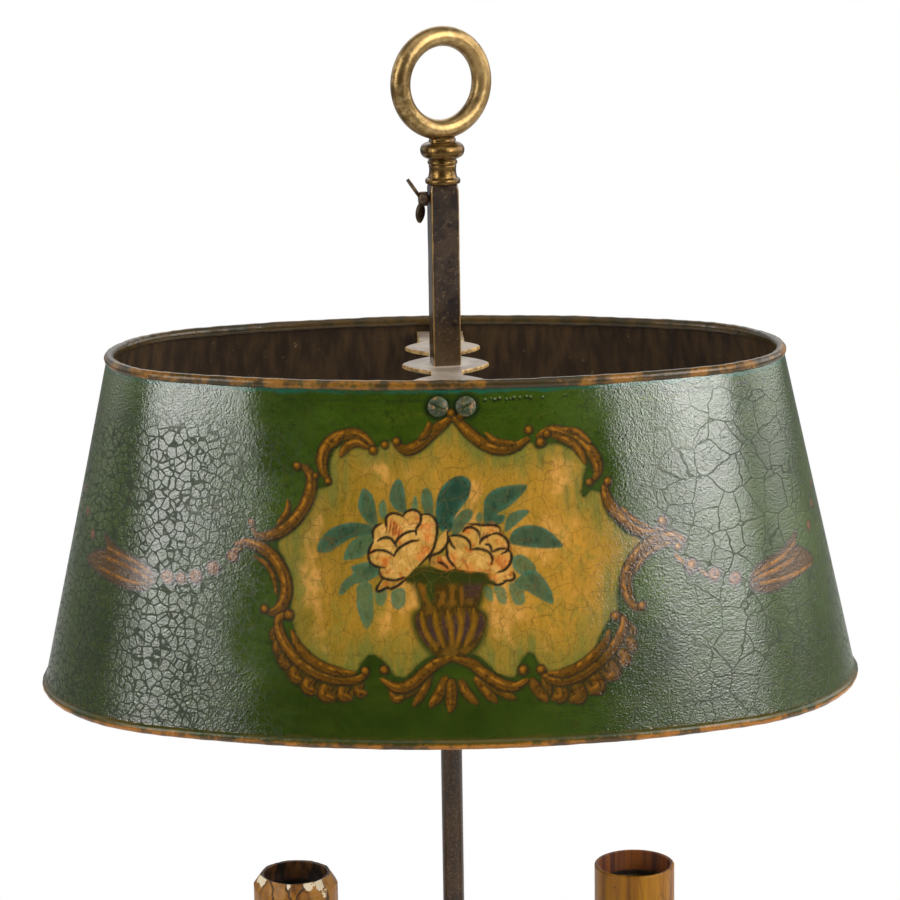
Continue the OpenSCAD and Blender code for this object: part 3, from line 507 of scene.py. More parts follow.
class Paint:
    """Colours laid over one another at the points (a, b)."""

    def __init__(self, a, b):
        self.a, self.b = a, b
        self.col = np.zeros((len(a), 3))
        self.alpha = np.zeros(len(a))
        self.cream = np.zeros(len(a))

    def near(self, pts, margin):
        lo, hi = pts.min(0) - margin, pts.max(0) + margin
        return np.nonzero((self.a > lo[0]) & (self.a < hi[0])
                          & (self.b > lo[1]) & (self.b < hi[1]))[0]

    def measure(self, i, pts):
        """Distance to a line of points, and how far along it."""
        d, k = np.empty(len(i)), np.empty(len(i), int)
        for c in range(0, len(i), 8192):
            j = i[c:c + 8192]
            dd = ((self.a[j, None] - pts[None, :, 0]) ** 2
                  + (self.b[j, None] - pts[None, :, 1]) ** 2)
            k[c:c + 8192] = dd.argmin(1)
            d[c:c + 8192] = np.sqrt(dd.min(1))
        return d, k / max(1, len(pts) - 1)

    def area(self, pts, margin):
        """Points in and near a closed line, and their distance to it, negative inside."""
        line = curve(pts, True)
        i = self.near(line, margin)
        d, _ = self.measure(i, line)
        return i, np.where(inside_of(line, self.a[i], self.b[i]), -d, d)

    def lay(self, i, colour, m):
        """Colour over the points i with the strength m."""
        m = np.clip(m, 0, 1)
        a0 = self.alpha[i]
        a1 = m + a0 * (1 - m)
        c = np.broadcast_to(colour, (len(i), 3))
        mix = c * m[:, None] + self.col[i] * (a0 * (1 - m))[:, None]
        self.col[i] = mix / np.maximum(a1, 1e-6)[:, None]
        self.alpha[i] = a1

    def dab(self, i, colour, alpha, m, grain, *kind):
        """Colour over the points i, broken up by grain."""
        if grain:
            m = m * (1 - grain + grain * spots(self.a[i], self.b[i], *kind))
        self.lay(i, colour, alpha * m)

    def stroke(self, pts, width, colour, soft=0.3, alpha=1.0, ends=(0.35, 0.35),
               move=(0, 0), grain=0.0):
        """A brush stroke that narrows to those shares of its width at its two ends."""
        line = curve(pts) + np.array(move)
        i = self.near(line, width + soft + 1)
        d, t = self.measure(i, line)
        w = width / 2
        for end, along in zip(ends, (t, 1 - t)):
            w = w * np.where(along < 0.3, end + (1 - end) * np.sin(along / 0.3 * PI / 2), 1.0)
        m = 1 - smooth(d, w - soft / 2, w + soft / 2)
        self.dab(i, colour, alpha, m, grain, 2.4, 5, 0.36, 0.62)

    def fill(self, pts, colour, soft=0.5, alpha=1.0, grow=0.0):
        i, d = self.area(pts, grow + soft + 1)
        self.lay(i, colour, alpha * (1 - smooth(d, grow - soft / 2, grow + soft / 2)))
        return i, d

    def dot(self, r, x, y, colour, soft=0.3, alpha=1.0, grain=0.0):
        i = self.near(np.array([[x, y]]), r + soft + 1)
        m = 1 - smooth(np.hypot(self.a[i] - x, self.b[i] - y), r - soft / 2, r + soft / 2)
        self.dab(i, colour, alpha, m, grain, 0.9, 11, 0.3, 0.65)


OUTLINE, GOLD_DIM, GOLD_MID = lin(38, 24, 15), lin(70, 46, 5), lin(98, 62, 7)
GOLD_LIT, HALO = lin(150, 98, 22), lin(32, 46, 10)
INK_C, PLUM = lin(24, 20, 12), lin(52, 34, 34)


def gilded(p, width, pts, ends=(0.4, 0.4), lit=1.0):
    """A scroll: shadow, dark outline, ochre body, a dark line in it, and streaks of gold."""
    w = width * 1.42
    p.stroke(pts, w * 1.35, HALO, 1.6, 0.6, ends, (0.4, -0.4))
    p.stroke(pts, w * 1.2, OUTLINE, 0.5, 0.9, ends, (0.2, -0.25), 0.2)
    p.stroke(pts, w * 0.93, GOLD_DIM, 0.5, 0.95, ends)
    p.stroke(pts, w * 0.7, GOLD_MID, 0.9, 0.85 * lit, ends, (-0.1, 0.2), 0.6)
    p.stroke(pts, w * 0.16, OUTLINE, 0.4, 0.7, ends, (w * 0.14, -w * 0.16), 0.5)
    p.stroke(pts, w * 0.2, GOLD_LIT, 0.6, 0.75 * lit, ends, (-w * 0.13, w * 0.15), 0.9)


def bead(p, r, x, y):
    p.dot(r * 1.35, x + 0.25, y - 0.25, OUTLINE, 0.8, 0.8)
    p.dot(r * 0.95, x, y, GOLD_DIM, 0.4)
    p.dot(r * 0.66, x - 0.1, y + 0.15, GOLD_MID, 0.5)
    p.dot(r * 0.36, x - 0.25, y + 0.35, GOLD_LIT, 0.6, 0.6)


def fringe(p, pts):
    """The ground of a scalloped fringe: ochre, blotted with brown."""
    ends = (0.4, 0.5)
    p.stroke(pts, 11.5, HALO, 2.0, 0.7, ends)
    p.stroke(pts, 9.0, OUTLINE, 0.6, 0.85, ends)
    p.stroke(pts, 8.2, GOLD_DIM, 0.8, 0.95, ends)
    p.stroke(pts, 7.4, GOLD_MID, 1.2, 0.6, ends, (0, 0), 0.9)


def paint_field(p):
    """A cream field, streaked and clouded, greener towards its edge."""
    i, d = p.area(points(FIELD), 12)
    x, y = p.a[i], p.b[i]
    d = d + 1.2 * (blot(x, y, 5, 21) - 0.5)
    streak, cloud = blot(x * 3.2, y * 0.55, 9, 31), blot(x, y, 22, 33)
    fine = blot(x * 2.5, y, 2.2, 35)
    tone = (0.5 + 0.0045 * x + 0.9 * (cloud - 0.5) + 0.5 * (streak - 0.5) + 0.35 * (fine - 0.5)
            + 0.10 * np.sin(y / 19))
    cream = blend(lin(112, 88, 20), lin(162, 116, 38), np.clip(tone, 0, 1))
    cream = blend(cream, lin(116, 93, 28), smooth(y, 62, 36) * 0.55)
    wash = (smooth(d, -15 - 9 * (cloud - 0.5), -1.5) * (0.35 + 0.75 * smooth(streak, 0.3, 0.7))
            + 0.25 * spots(x * 2, y * 0.7, 12, 37, 0.55, 0.8))
    cream = blend(cream, lin(88, 90, 34), np.clip(wash, 0, 0.85))
    pink = (spots(x * 1.1, y * 0.9, 15, 61, 0.5, 0.68) * smooth(d, -3, -9)
            * (0.4 + 0.6 * spots(x * 2.2, y, 3, 63, 0.35, 0.6)))
    cream = blend(cream, lin(188, 134, 66), pink * 0.6)
    moss = spots(x, y * 0.8, 9, 67, 0.56, 0.74) * spots(x * 2, y * 2, 3, 69, 0.3, 0.6)
    cream = blend(cream, lin(104, 100, 36), moss * 0.5)
    p.lay(i, HALO, 0.9 * (1 - smooth(d, -0.5, 2.6)))
    p.lay(i, cream, 1 - smooth(d, -1.6, 0.6))
    p.cream[i] = np.maximum(p.cream[i], 1 - smooth(d, -3, 0))


def paint_leaves(p):
    for tone, pts in lines_of(LEAVES, 1):
        base = blend(lin(22, 56, 42), lin(66, 98, 62), tone)
        i, d = p.fill(pts, base, 0.9, 0.97 - 0.25 * tone)
        x, y = p.a[i], p.b[i]
        vein = smooth(d, -2.6, -0.2) * (1 - smooth(d, -0.3, 0.3))
        p.lay(i, lin(58, 98, 76), 0.45 * vein * spots(x, y, 3, 41, 0.3, 0.7))
        p.lay(i, lin(16, 40, 30), 0.5 * (1 - smooth(d, -2.5, -0.4))
              * spots(x * 1.5, y, 4, 43, 0.42, 0.75) * (1 - 0.6 * tone))


def paint_urn(p, top):
    """A reeded urn in a dark green shadow."""
    p.fill(points(URN), HALO, 3.6, 0.95, 1.6)
    i, d = p.fill(points(URN), lin(56, 40, 6), 0.8)
    x, y = p.a[i], p.b[i]
    inner = 1 - smooth(d, -1.2, 0)
    p.lay(i, lin(96, 66, 14), inner * 0.7 * spots(x, y, 3.5, 47, 0.4, 0.7))
    p.lay(i, PLUM, inner * 0.75 * smooth(x, 4.5, 10) * smooth(y, 62, 70))
    for w, pts in lines_of(GAPS):
        p.stroke(pts, w, PLUM, 0.7, 0.85)
    for w, pts in lines_of(REEDS):
        p.stroke(pts, w, lin(88, 60, 8), 0.8, 0.95)
        p.stroke(pts, w * 0.5, lin(122, 82, 14), 0.9, 0.8, (0.35, 0.35), (-0.15, 0), 0.5)
    for w, pts in lines_of(NECK):
        p.stroke(pts, w, lin(116, 74, 16), 1.2, 0.6)
    mouth = smooth(y + 2.2 * (blot(x * 4, y, 4, 49) - 0.5), top - 8.5, top - 5.0)
    p.lay(i, lin(42, 46, 8), inner * mouth)
    p.lay(i, lin(40, 54, 12), inner * 0.8 * (1 - smooth(np.abs(x + 7.5), 1.0, 2.6))
          * smooth(y, top - 17, top - 12))


def paint_roses(p):
    for k, row in enumerate(PETALS):
        i, d = p.fill(points(row), lin(164, 122, 54) if k < 4 else lin(140, 98, 36), 0.6)
        x, y = p.a[i], p.b[i]
        body = 1 - smooth(d, -0.8, 0.2)
        p.lay(i, lin(194, 150, 82), body * 0.6 * spots(x, y, 3, 51, 0.5, 0.7))
        p.lay(i, lin(132, 108, 52), body * 0.6 * spots(x, y, 4, 53, 0.55, 0.8))
        p.lay(i, lin(204, 124, 70), body * 0.55 * spots(x, y, 5, 55, 0.55, 0.7)
              * smooth(y, 88, 100))
    for r, x, y in np.array(STAINS) / 10:
        p.dot(r, x, y, lin(178, 92, 32), r * 1.2, 0.75, 0.7)
    rng = np.random.default_rng(77)
    for row in PETALS:
        line = curve(points(row), True)
        lo, hi = line.min(0), line.max(0)
        n = int(np.prod(hi - lo) / 7)
        x, y = rng.uniform(lo[0], hi[0], n), rng.uniform(lo[1], hi[1], n)
        keep = inside_of(line, x, y) & (blot(x, y, 6, 71) > 0.5)
        for qx, qy, r in zip(x[keep], y[keep], rng.uniform(0.5, 1.1, keep.sum())):
            p.dot(r, qx, qy, lin(150, 74, 20), 0.8, 0.7)
    for row in HATCH:
        p.stroke(points(row), 0.7, lin(104, 48, 18), 0.4, 0.85)
    for row in INK:
        p.stroke(points(row), 1.4, INK_C, 0.45, 0.95, (0.5, 0.5))


def paint_frame(p):
    """The fan below, the scrolls round the field, and their beads."""
    for row in FRINGE:
        fringe(p, points(row))
    for w, pts in lines_of(LOBES):
        wide = abs(pts[0][0]) > 26
        gilded(p, w * (1.3 if wide else 1.0), pts, (0.8, 0.45), 0.55 if wide else 0.9)
    for w, pts in lines_of(SCROLLS):
        gilded(p, w, pts)
    for r, x, y in np.array(BEADS) / 10:
        bead(p, r, x, y)


def paint_cartouche(p):
    """Two roses and leaves in an urn, on a cream field in a frame of scrolls."""
    top = points(URN)[:, 1].max()
    paint_field(p)
    paint_leaves(p)
    paint_urn(p, top)
    paint_roses(p)
    # the rim of the urn overlaps the roses
    rim = [(-17, top - 4.2), (-12, top - 2.6), (-4, top - 2.0), (6, top - 2.6), (14, top - 4.0),
           (20, top - 5.6)]
    p.stroke(rim, 3.4, lin(40, 44, 8), 1.8, 0.9, (0.6, 0.6), (0, -0.8))
    paint_frame(p)


def paint_garlands(p):
    for row in HUSKS:
        p.fill(points(row), OUTLINE, 0.8, 0.9, 1.0)
        p.fill(points(row), GOLD_DIM, 0.6, 0.95)
    for w, pts in lines_of(GARLAND):
        p.stroke(pts, w * 1.5, OUTLINE, 0.6, 0.7, (0.6, 0.3), (0.2, -0.3), 0.3)
        p.stroke(pts, w, GOLD_MID, 0.7, 0.9, (0.6, 0.3), (0, 0), 0.4)
        p.stroke(pts, w * 0.4, GOLD_LIT, 0.6, 0.8, (0.6, 0.3), (-0.1, 0.3), 0.7)
    for r, x, y in np.array(BUDS) / 10:
        p.dot(r * 1.45, x + 0.15, y - 0.2, OUTLINE, 0.8, 0.85)
        p.dot(r * 1.1, x, y, lin(84, 48, 20), 0.5)
        p.dot(r * 0.8, x - 0.2, y + 0.3, lin(126, 84, 36), 0.9, 0.7, 0.8)
        p.dot(r * 0.3, x + 0.1, y, OUTLINE, 0.6, 0.7)


SCREWS_X, SCREWS_Y, SEAM_Y = (-3, 9), 148.4, 151.3


def paint_marks_shadows_glints(p):
    """Painted shadows round the two screws, the seam's line, and the upper rim's pits with painted
    glints.
    """
    for x in SCREWS_X:
        # a painted shadow round each screw head
        p.dot(6.2, x, SCREWS_Y, lin(20, 34, 8), 2.4, 0.75)
    p.stroke([(-70, 151.4), (-30, 151.2), (14, 151.2)], 0.7, lin(20, 34, 12), 0.5, 0.6, (1, 1),
             (0, 0), 0.8)
    rng = np.random.default_rng(31)
    at = 14.0
    while at < 150:
        at += rng.uniform(1.6, 3.4)
        if at > 96 or at < 38 or rng.random() < 0.25:
            y = SEAM_Y - 0.9 * smooth(at, 90, 110) + rng.uniform(-0.5, 0.5)
            size = rng.uniform(0.45, 0.9)
            p.dot(size, at, y, lin(12, 18, 8), 0.4, 0.95)
            if at < 60:
                # a painted glint beside the pit
                p.dot(size * 0.6, at + 0.3, y + 0.7, lin(120, 130, 90), 0.4, 0.5)


def paint_sheet(me, u, z):
    """Paints the front, and a second time the back, a little differently drawn."""
    a = np.abs(u)
    col, alpha, cream = np.zeros((u.size, 3)), np.zeros(u.size), np.zeros(u.size)
    for turned in (False, True):
        across = unrolled(HALF - a, z) * -np.sign(u) if turned else unrolled(a, z) * np.sign(u)
        k = np.nonzero(((a > HALF / 2) == turned).ravel())[0]
        p = Paint(across.ravel()[k], (z / math.cos(SLOPE)).ravel()[k])
        if turned:
            p.a, p.b = p.a + 0.8 * np.sin(p.b / 23), p.b + 0.6 * np.sin(p.a / 31)
        paint_garlands(p)
        paint_marks_shadows_glints(p)
        paint_cartouche(p)
        col[k], alpha[k], cream[k] = p.col, p.alpha, p.cream
    me.color_attributes.new("paint", "FLOAT_COLOR", "POINT").data.foreach_set(
        "color", np.c_[col, alpha].astype(np.float32).ravel())
    me.attributes.new("cream", "FLOAT", "POINT").data.foreach_set(
        "value", cream.astype(np.float32))


def unroll_uv(me, u, rows):
    """Where each point lies on the unrolled sheet, as the UV map OFBake."""
    at = np.empty(len(me.loops), np.int32)
    me.loops.foreach_get("vertex_index", at)
    across = (u[at % len(u)] + HALF) / AROUND
    lowest = across.reshape(-1, 4).min(1).repeat(4)
    across = np.where((lowest < 0.01) & (across > 0.9), across - 1, across)
    highest = across.reshape(-1, 4).max(1).repeat(4)
    across = np.where((highest > 0.9) & (across < 0.1), across + 1, across)
    uv = np.c_[0.001 + 0.997 * across, 0.01 + 0.98 * (at // len(u)) / (rows - 1)]
    me.uv_layers.new(name="OFBake").data.foreach_set("uv", uv.astype(np.float32).ravel())


def painted_sheet():
    u = columns()
    tall = SHADE_H - 2 * SHEET_LOW
    z = np.linspace(SHEET_LOW, SHADE_H - SHEET_LOW, int(tall / SHEET_STEP))
    uu, zz = np.meshgrid(u, z)
    o = grid_mesh("painted_shade", oval(uu, wall_off(zz) + wobble(uu, zz), zz))
    paint_sheet(o.data, uu, zz)
    unroll_uv(o.data, u, len(z))
    return o


def inner_sheet():
    u, z = np.meshgrid(np.linspace(-HALF, HALF, 420, endpoint=False),
                       np.linspace(SHEET_LOW, SHADE_H - SHEET_LOW, 40))
    return grid_mesh("shade_inside", oval(u, wall_off(z) + wobble(u, z) - SHEET_IN, z), flip=True)


def rolled_rim(name, off, z, seed):
    """A curl that closes against the sheet."""
    u, t = np.meshgrid(np.linspace(-HALF, HALF, 900, endpoint=False),
                       np.linspace(0, 2 * PI, 22, endpoint=False))
    rng = np.random.default_rng(seed)
    lump = sum(rng.uniform(0.01, 0.05) * np.sin(k * 2 * PI / AROUND * u + rng.uniform(0, 6))
               for k in (11, 19, 37, 61, 97))
    r = BEAD_R + 0.02 + lump
    return grid_mesh(name, oval(u, off + r * np.cos(t) + wobble(u, z), z + r * np.sin(t)),
                     closed=True)


shade, inside = painted_sheet(), inner_sheet()
rim_low = rolled_rim("shade_rim_low", -BEAD_R, BEAD_R, 3)
rim_high = rolled_rim("shade_rim_high", -TAPER - BEAD_R, SHADE_H - BEAD_R, 4)


# ---------------------------------------------------------------- finishes of the shade


def height(low, high):
    """Two heights over the lower rim, as Z in metres."""
    return (SHADE_Z + low) * MM, (SHADE_Z + high) * MM


def tole_material():
    """Green paint with the painting over it, under a cracked varnish."""
    g = Graph("painted_tole")
    x, z = g.axis("X"), g.axis("Z")
    paint, alpha, cream = g.attr("paint", "Color"), g.attr("paint", "Alpha"), g.attr("cream")
    # the green ground, brushed and cloudy, darker below
    cloud = g.noise(22, 4, 0.6)
    green = g.mix(g.span(cloud, 0.3, 0.7), lin(30, 45, 2), lin(46, 64, 4))
    green = g.over(green, lin(60, 70, 8), 0.35, g.spots((30, 30, 190), 4, 0.6, 0.45, 0.75))
    green = g.over(green, lin(20, 32, 2), 0.6, g.spots(700, 3, 0.6, 0.5, 0.75))
    green = g.over(green, lin(22, 30, 4), 0.55, g.spots(330, 4, 0.7, 0.54, 0.68))
    green = g.over(green, lin(24, 30, 4), 0.32, g.fall(z, *height(4, 70)))
    green = g.over(green, lin(78, 72, 26), 0.45, g.spots(60, 5, 0.7, 0.66, 0.78))
    # a teal band under the upper rim and drips at the lower one
    uneven = g.add(z, g.mul(g.noise(120, 3, 0.6), 0.004))
    band = g.span(uneven, *height(151.6, 153.4))
    green = g.mix(g.mul(band, g.spots(26, 3, 0.6, 0.34, 0.6, 0.35, 0.9)), green, lin(18, 70, 54))
    green = g.over(green, lin(78, 58, 20), 0.5, g.fall(uneven, *height(5.5, 8.0)))
    base = g.mix(alpha, green, paint)
    # cracks: small islands on the left, wide plates on the right, fine lines in the middle
    soft = g.moved(g.co, 260, 2, 0.0017)
    wide = g.moved(g.moved(g.co, 60, 2, 0.006), 260, 2, 0.0018)
    spread = g.mul(g.sub(g.noise(16, 3, 0.5), 0.5), 0.11)
    across, high = g.add(x, spread), g.add(z, g.mul(spread, 0.25))
    left, right = g.fall(across, -0.125, -0.055), g.span(across, 0.070, 0.125)
    islands = g.mul(g.cracks(235, soft, 0.04, 0.115), left, g.sub(1.0, g.mul(alpha, 0.75)),
                    g.span(high, *height(124, 142), 0.88, 0.1))
    small = g.mul(g.cracks(190, wide, 0.008, 0.036), g.spots(38, 2, 0.5, 0.44, 0.62, 0.0, 0.8))
    plates = g.mul(g.math("MAXIMUM", g.cracks(84, wide, 0.009, 0.030), small), right,
                   g.sub(0.78, g.mul(alpha, 0.5)), g.span(high, *height(138, 150), 1.0, 0.1))
    hair = g.mul(g.cracks(120, wide, 0.004, 0.026), g.math("MAXIMUM", g.mul(cream, 0.65), 0.15))
    lines = g.math("MAXIMUM", islands, plates)
    base = g.over(base, lin(26, 34, 20), 0.85, lines)
    base = g.over(base, lin(84, 60, 26), 0.8, hair)
    # the gold is speckled, and the cream crazed finely, up and down more than across
    for colour, strength, where, spots_at in (
            ((0.42, 0.40, 0.40), 0.75, g.mul(alpha, g.sub(1.0, cream)), (640, 3, 0.65, 0.5, 0.64)),
            ((0.62, 0.66, 0.55), 0.75, cream, ((900, 900, 260), 4, 0.65, 0.48, 0.70)),
            ((0.74, 0.70, 0.50), 0.7, cream, (820, 3, 0.6, 0.54, 0.72))):
        base = g.over(base, colour, strength, where, g.spots(*spots_at), how="MULTIPLY")
    # relief: the cracks lie low, with pits over the whole varnish
    pits = g.add(g.noise(1100, 2, 0.6), g.mul(g.noise(480, 3, 0.65), 0.6))
    pitted = g.add(0.09, g.mul(g.fall(across, -0.105, -0.070), 0.46),
                   g.mul(g.span(across, 0.055, 0.085), 0.30))
    relief = g.add(g.mul(lines, -0.05), g.mul(hair, -0.03), g.mul(pits, pitted))
    rough = g.add(0.13, g.mul(lines, 0.30), g.mul(right, 0.07),
                  g.mul(g.span(cloud, 0.35, 0.75), 0.06))
    return g.finish(base, rough, 0.0, g.bump(relief, 0.5, 0.0008), IOR=1.75,
                    Specular_IOR_Level=g.sub(0.5, g.mul(lines, 0.42)))


def inside_material():
    g = Graph("tole_inside")
    c = g.mix(g.spots((210, 210, 9), 4, 0.6, 0.35, 0.7), lin(34, 22, 9), lin(58, 41, 20))
    c = g.over(c, lin(26, 17, 8), 0.6, g.spots(30, 4, 0.6, 0.5, 0.75))
    c = g.over(c, lin(104, 84, 52), 0.7, g.spots(260, 3, 0.6, 0.66, 0.76))
    return g.finish(c, 0.6, 0.0, g.bump(g.noise(500), 0.3, 0.0003), IOR=1.25)


def rim_material(name, gold, dark, green, worn, level):
    """Worn gilding on the roll; above the given level the green of the sheet laps over it."""
    g = Graph(name)
    patch = g.noise(130, 4, 0.65)
    wear = g.add(g.mul(g.noise(34, 4, 0.65), 0.5), g.mul(patch, 0.5))
    c = g.mix(g.span(wear, worn - 0.05, worn + 0.07), dark, gold)
    c = g.over(c, green, 0.8, g.spots(75, 4, 0.7, 0.56, 0.66))
    lap = g.add(g.axis("Z"), g.mul(g.noise(90, 4, 0.7), 0.003))
    c = g.over(c, green, 0.85, g.span(lap, (level + 1.2) * MM, (level + 2.6) * MM))
    c = g.over(c, lin(34, 26, 10), 0.35, g.spots(900, 2, 0.5, 0.55, 0.7))
    # the side that faces the lamp's axis is dull
    outward = g.vector("DOT_PRODUCT", g.normal(), g.vector("MULTIPLY", g.co, (1, 1, 0)),
                       out="Value")
    c = g.over(c, lin(44, 38, 20), 0.8, g.fall(outward, -0.02, 0.02))
    return g.finish(c, 0.30, 0.1, g.bump(g.add(patch, g.noise(700, 2)), 0.4, 0.0004), IOR=1.4)


for o, material in (
        (shade, tole_material()), (inside, inside_material()),
        (rim_low, rim_material("rim_low_gilt", lin(142, 88, 12), lin(62, 42, 10),
                               lin(30, 46, 6), 0.475, SHADE_Z + BEAD_R)),
        (rim_high, rim_material("rim_high_gilt", lin(116, 76, 14), lin(48, 36, 10),
                                lin(28, 44, 8), 0.50, SHADE_Z + SHADE_H))):
    o.data.materials.append(material)
    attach(o, "carriage")
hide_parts("shade")

# ---------------------------------------------------------------- other finishes


def metal(name, deep, mid, bright, rough, metallic, size=60, scratch=0.3):
    """Old metal: a patina in patches, rubbed brighter in places, with fine scratches."""
    g = Graph(name)
    patch, small = g.noise(size, 5, 0.62), g.noise(size * 7, 3, 0.6)
    c = g.mix(g.span(patch, 0.32, 0.68), deep, mid)
    c = g.over(c, bright, 0.55, g.span(small, 0.45, 0.75))
    c = g.over(c, deep, 0.5, g.spots(size * 3.3, 4, 0.7, 0.62, 0.74))
    relief = g.add(g.mul(g.noise((size * 30, size * 30, size * 2.5)), scratch), small, patch)
    return g.finish(c, g.add(rough - 0.06, g.mul(patch, 0.16)), metallic,
                    g.bump(relief, 0.35, 0.0003))


def plain(name, dark, light, size, rough, bumps=0.0002):
    g = Graph(name)
    a, b = g.noise(size, 4, 0.6), g.noise(size * 6, 3, 0.6)
    c = g.mix(g.span(g.add(g.mul(a, 0.6), g.mul(b, 0.4)), 0.35, 0.65), dark, light)
    return g.finish(c, rough, 0.0, g.bump(g.add(a, b), 0.4, bumps))


def screw_material():
    """Brass screws varnished over with the shade's green, worn through in spots."""
    g = Graph("painted_screws")
    patch, fine = g.noise(330, 4, 0.65), g.noise(900, 3, 0.6)
    c = g.mix(g.span(patch, 0.4, 0.6), lin(22, 32, 10), lin(50, 58, 26))
    c = g.over(c, lin(134, 96, 52), 0.85, g.spots(420, 3, 0.7, 0.54, 0.64))
    c = g.over(c, lin(20, 16, 12), 0.6, g.span(fine, 0.6, 0.72))
    return g.finish(c, 0.34, 0.0, g.bump(g.add(patch, fine), 0.7, 0.0006), IOR=1.4)


def strap_reflection_material():
    """Pale painted reflection on the flat faces, browner and gilt along the edges, solder round the
    sleeve.
    """
    g = Graph("tinned_strap")
    up = g.new("Math", {0: g.axis("Z", g.normal())}, operation="ABSOLUTE").outputs[0]
    cloud, fine = g.noise(70, 4, 0.6), g.noise(420, 3, 0.6)
    # the flat faces: a pale painted reflection, mottled
    top = g.mix(g.span(cloud, 0.35, 0.65), lin(118, 105, 92), lin(148, 134, 117))
    top = g.over(top, lin(112, 92, 72), 0.45, g.span(fine, 0.55, 0.75))
    side = g.mix(g.span(fine, 0.4, 0.6), lin(120, 92, 52), lin(176, 142, 86))
    # painted reflection where the faces look up or down, brass-tan on the edges
    c = g.mix(g.span(up, 0.75, 0.97), side, top)
    solder = g.add(g.radius(), g.mul(g.noise(150, 4, 0.6), 0.006))
    c = g.over(c, lin(164, 152, 136), 0.8, g.fall(solder, 0.0125, 0.0155))
    return g.finish(c, 0.45, 0.15, g.bump(g.add(cloud, fine), 0.4, 0.0003))


def candle_outside(name, dark, mid, light, crack, chips=False):
    """Stained wood with upright grain, dents and cracks, and bare plaster where chipped."""
    g = Graph(name)
    grain = g.noise((300, 300, 14), 5, 0.6)
    c = g.mix(g.span(grain, 0.36, 0.64), dark, mid)
    c = g.over(c, light, 0.7, g.spots((70, 70, 6), 3, 0.5, 0.42, 0.7))
    split = g.cracks(1, g.moved(g.scaled((95, 95, 11)), 90, 2, 0.5), 0.008, 0.04)
    lines = g.mul(split, crack)
    c = g.mix(lines, c, lin(40, 22, 8))
    c = g.over(c, lin(52, 30, 10), 0.6, g.spots(190, 3, 0.6, 0.64, 0.72))
    relief = g.add(grain, g.mul(lines, -1.5))
    if chips:
        bare = g.span(g.add(g.mul(g.attr("chip"), 0.6), g.noise(240, 3, 0.7)), 0.80, 0.86)
        c = g.mix(bare, c, lin(206, 190, 160))
        relief = g.add(relief, g.mul(bare, -0.8))
    return g.finish(c, 0.42, 0.0, g.bump(relief, 0.4, 0.0005), IOR=1.3)


def candle_inside(name, dark, light):
    g = Graph(name)
    grain = g.noise((260, 260, 10), 4, 0.6)
    c = g.mix(g.span(grain, 0.4, 0.62), dark, light)
    return g.finish(c, 0.6, 0.0, g.bump(grain, 0.4, 0.0004))


def sleeve_material():
    """Brown patina, worn to gold along the four arrises, lighter near the foot."""
    g = Graph("sleeve_patina")
    v = g.scaled((1, 1, 1), turn=(0, 0, -TURN))
    ax, ay = (g.new("Math", {0: g.axis(k, v)}, operation="ABSOLUTE").outputs[0] for k in "XY")
    near = g.add(g.math("MINIMUM", ax, ay), g.mul(g.noise(180, 4, 0.7), 0.0012))
    cloud, fine = g.noise(75, 5, 0.65), g.noise(520, 3, 0.6)
    c = g.mix(g.span(cloud, 0.38, 0.62), lin(42, 32, 28), lin(74, 58, 44))
    foot = g.fall(g.axis("Z"), (BRIDGE_Z + 2) * MM, (BRIDGE_Z + 30) * MM)
    c = g.over(c, lin(84, 64, 38), 0.7, foot)
    c = g.over(c, lin(112, 92, 68), 0.55, g.span(fine, 0.56, 0.70))
    c = g.over(c, lin(24, 18, 18), 0.8, g.spots(170, 3, 0.5, 0.60, 0.68))
    c = g.over(c, lin(176, 138, 78), 0.85, g.span(near, 0.00615, 0.0068))
    return g.finish(c, 0.22, 0.5, g.bump(g.add(cloud, g.mul(fine, 0.6)), 0.3, 0.0003), IOR=1.8)


# ---------------------------------------------------------------- formed pieces (mm)

BRIDGE_Z, SLEEVE_TOP = SHADE_Z + 148, SHADE_Z + 230.5
TURN = math.radians(9.75)              # how far the square sleeve stands turned
SLEEVE_W, SLEEVE_IN, ARRIS = 6.5, 5.7, 0.75        # half widths, and the arrises' radius
CANDLE_LEN, CANDLE_IN, CANDLE_R, CANDLE_LEFT_R = 90.0, 17.0, 19.0, 20.0


def cylinder(r, angle, z):
    """Points round the axis, all at one height."""
    return np.stack([r * np.cos(angle), r * np.sin(angle), np.full(len(angle), z)], -1)


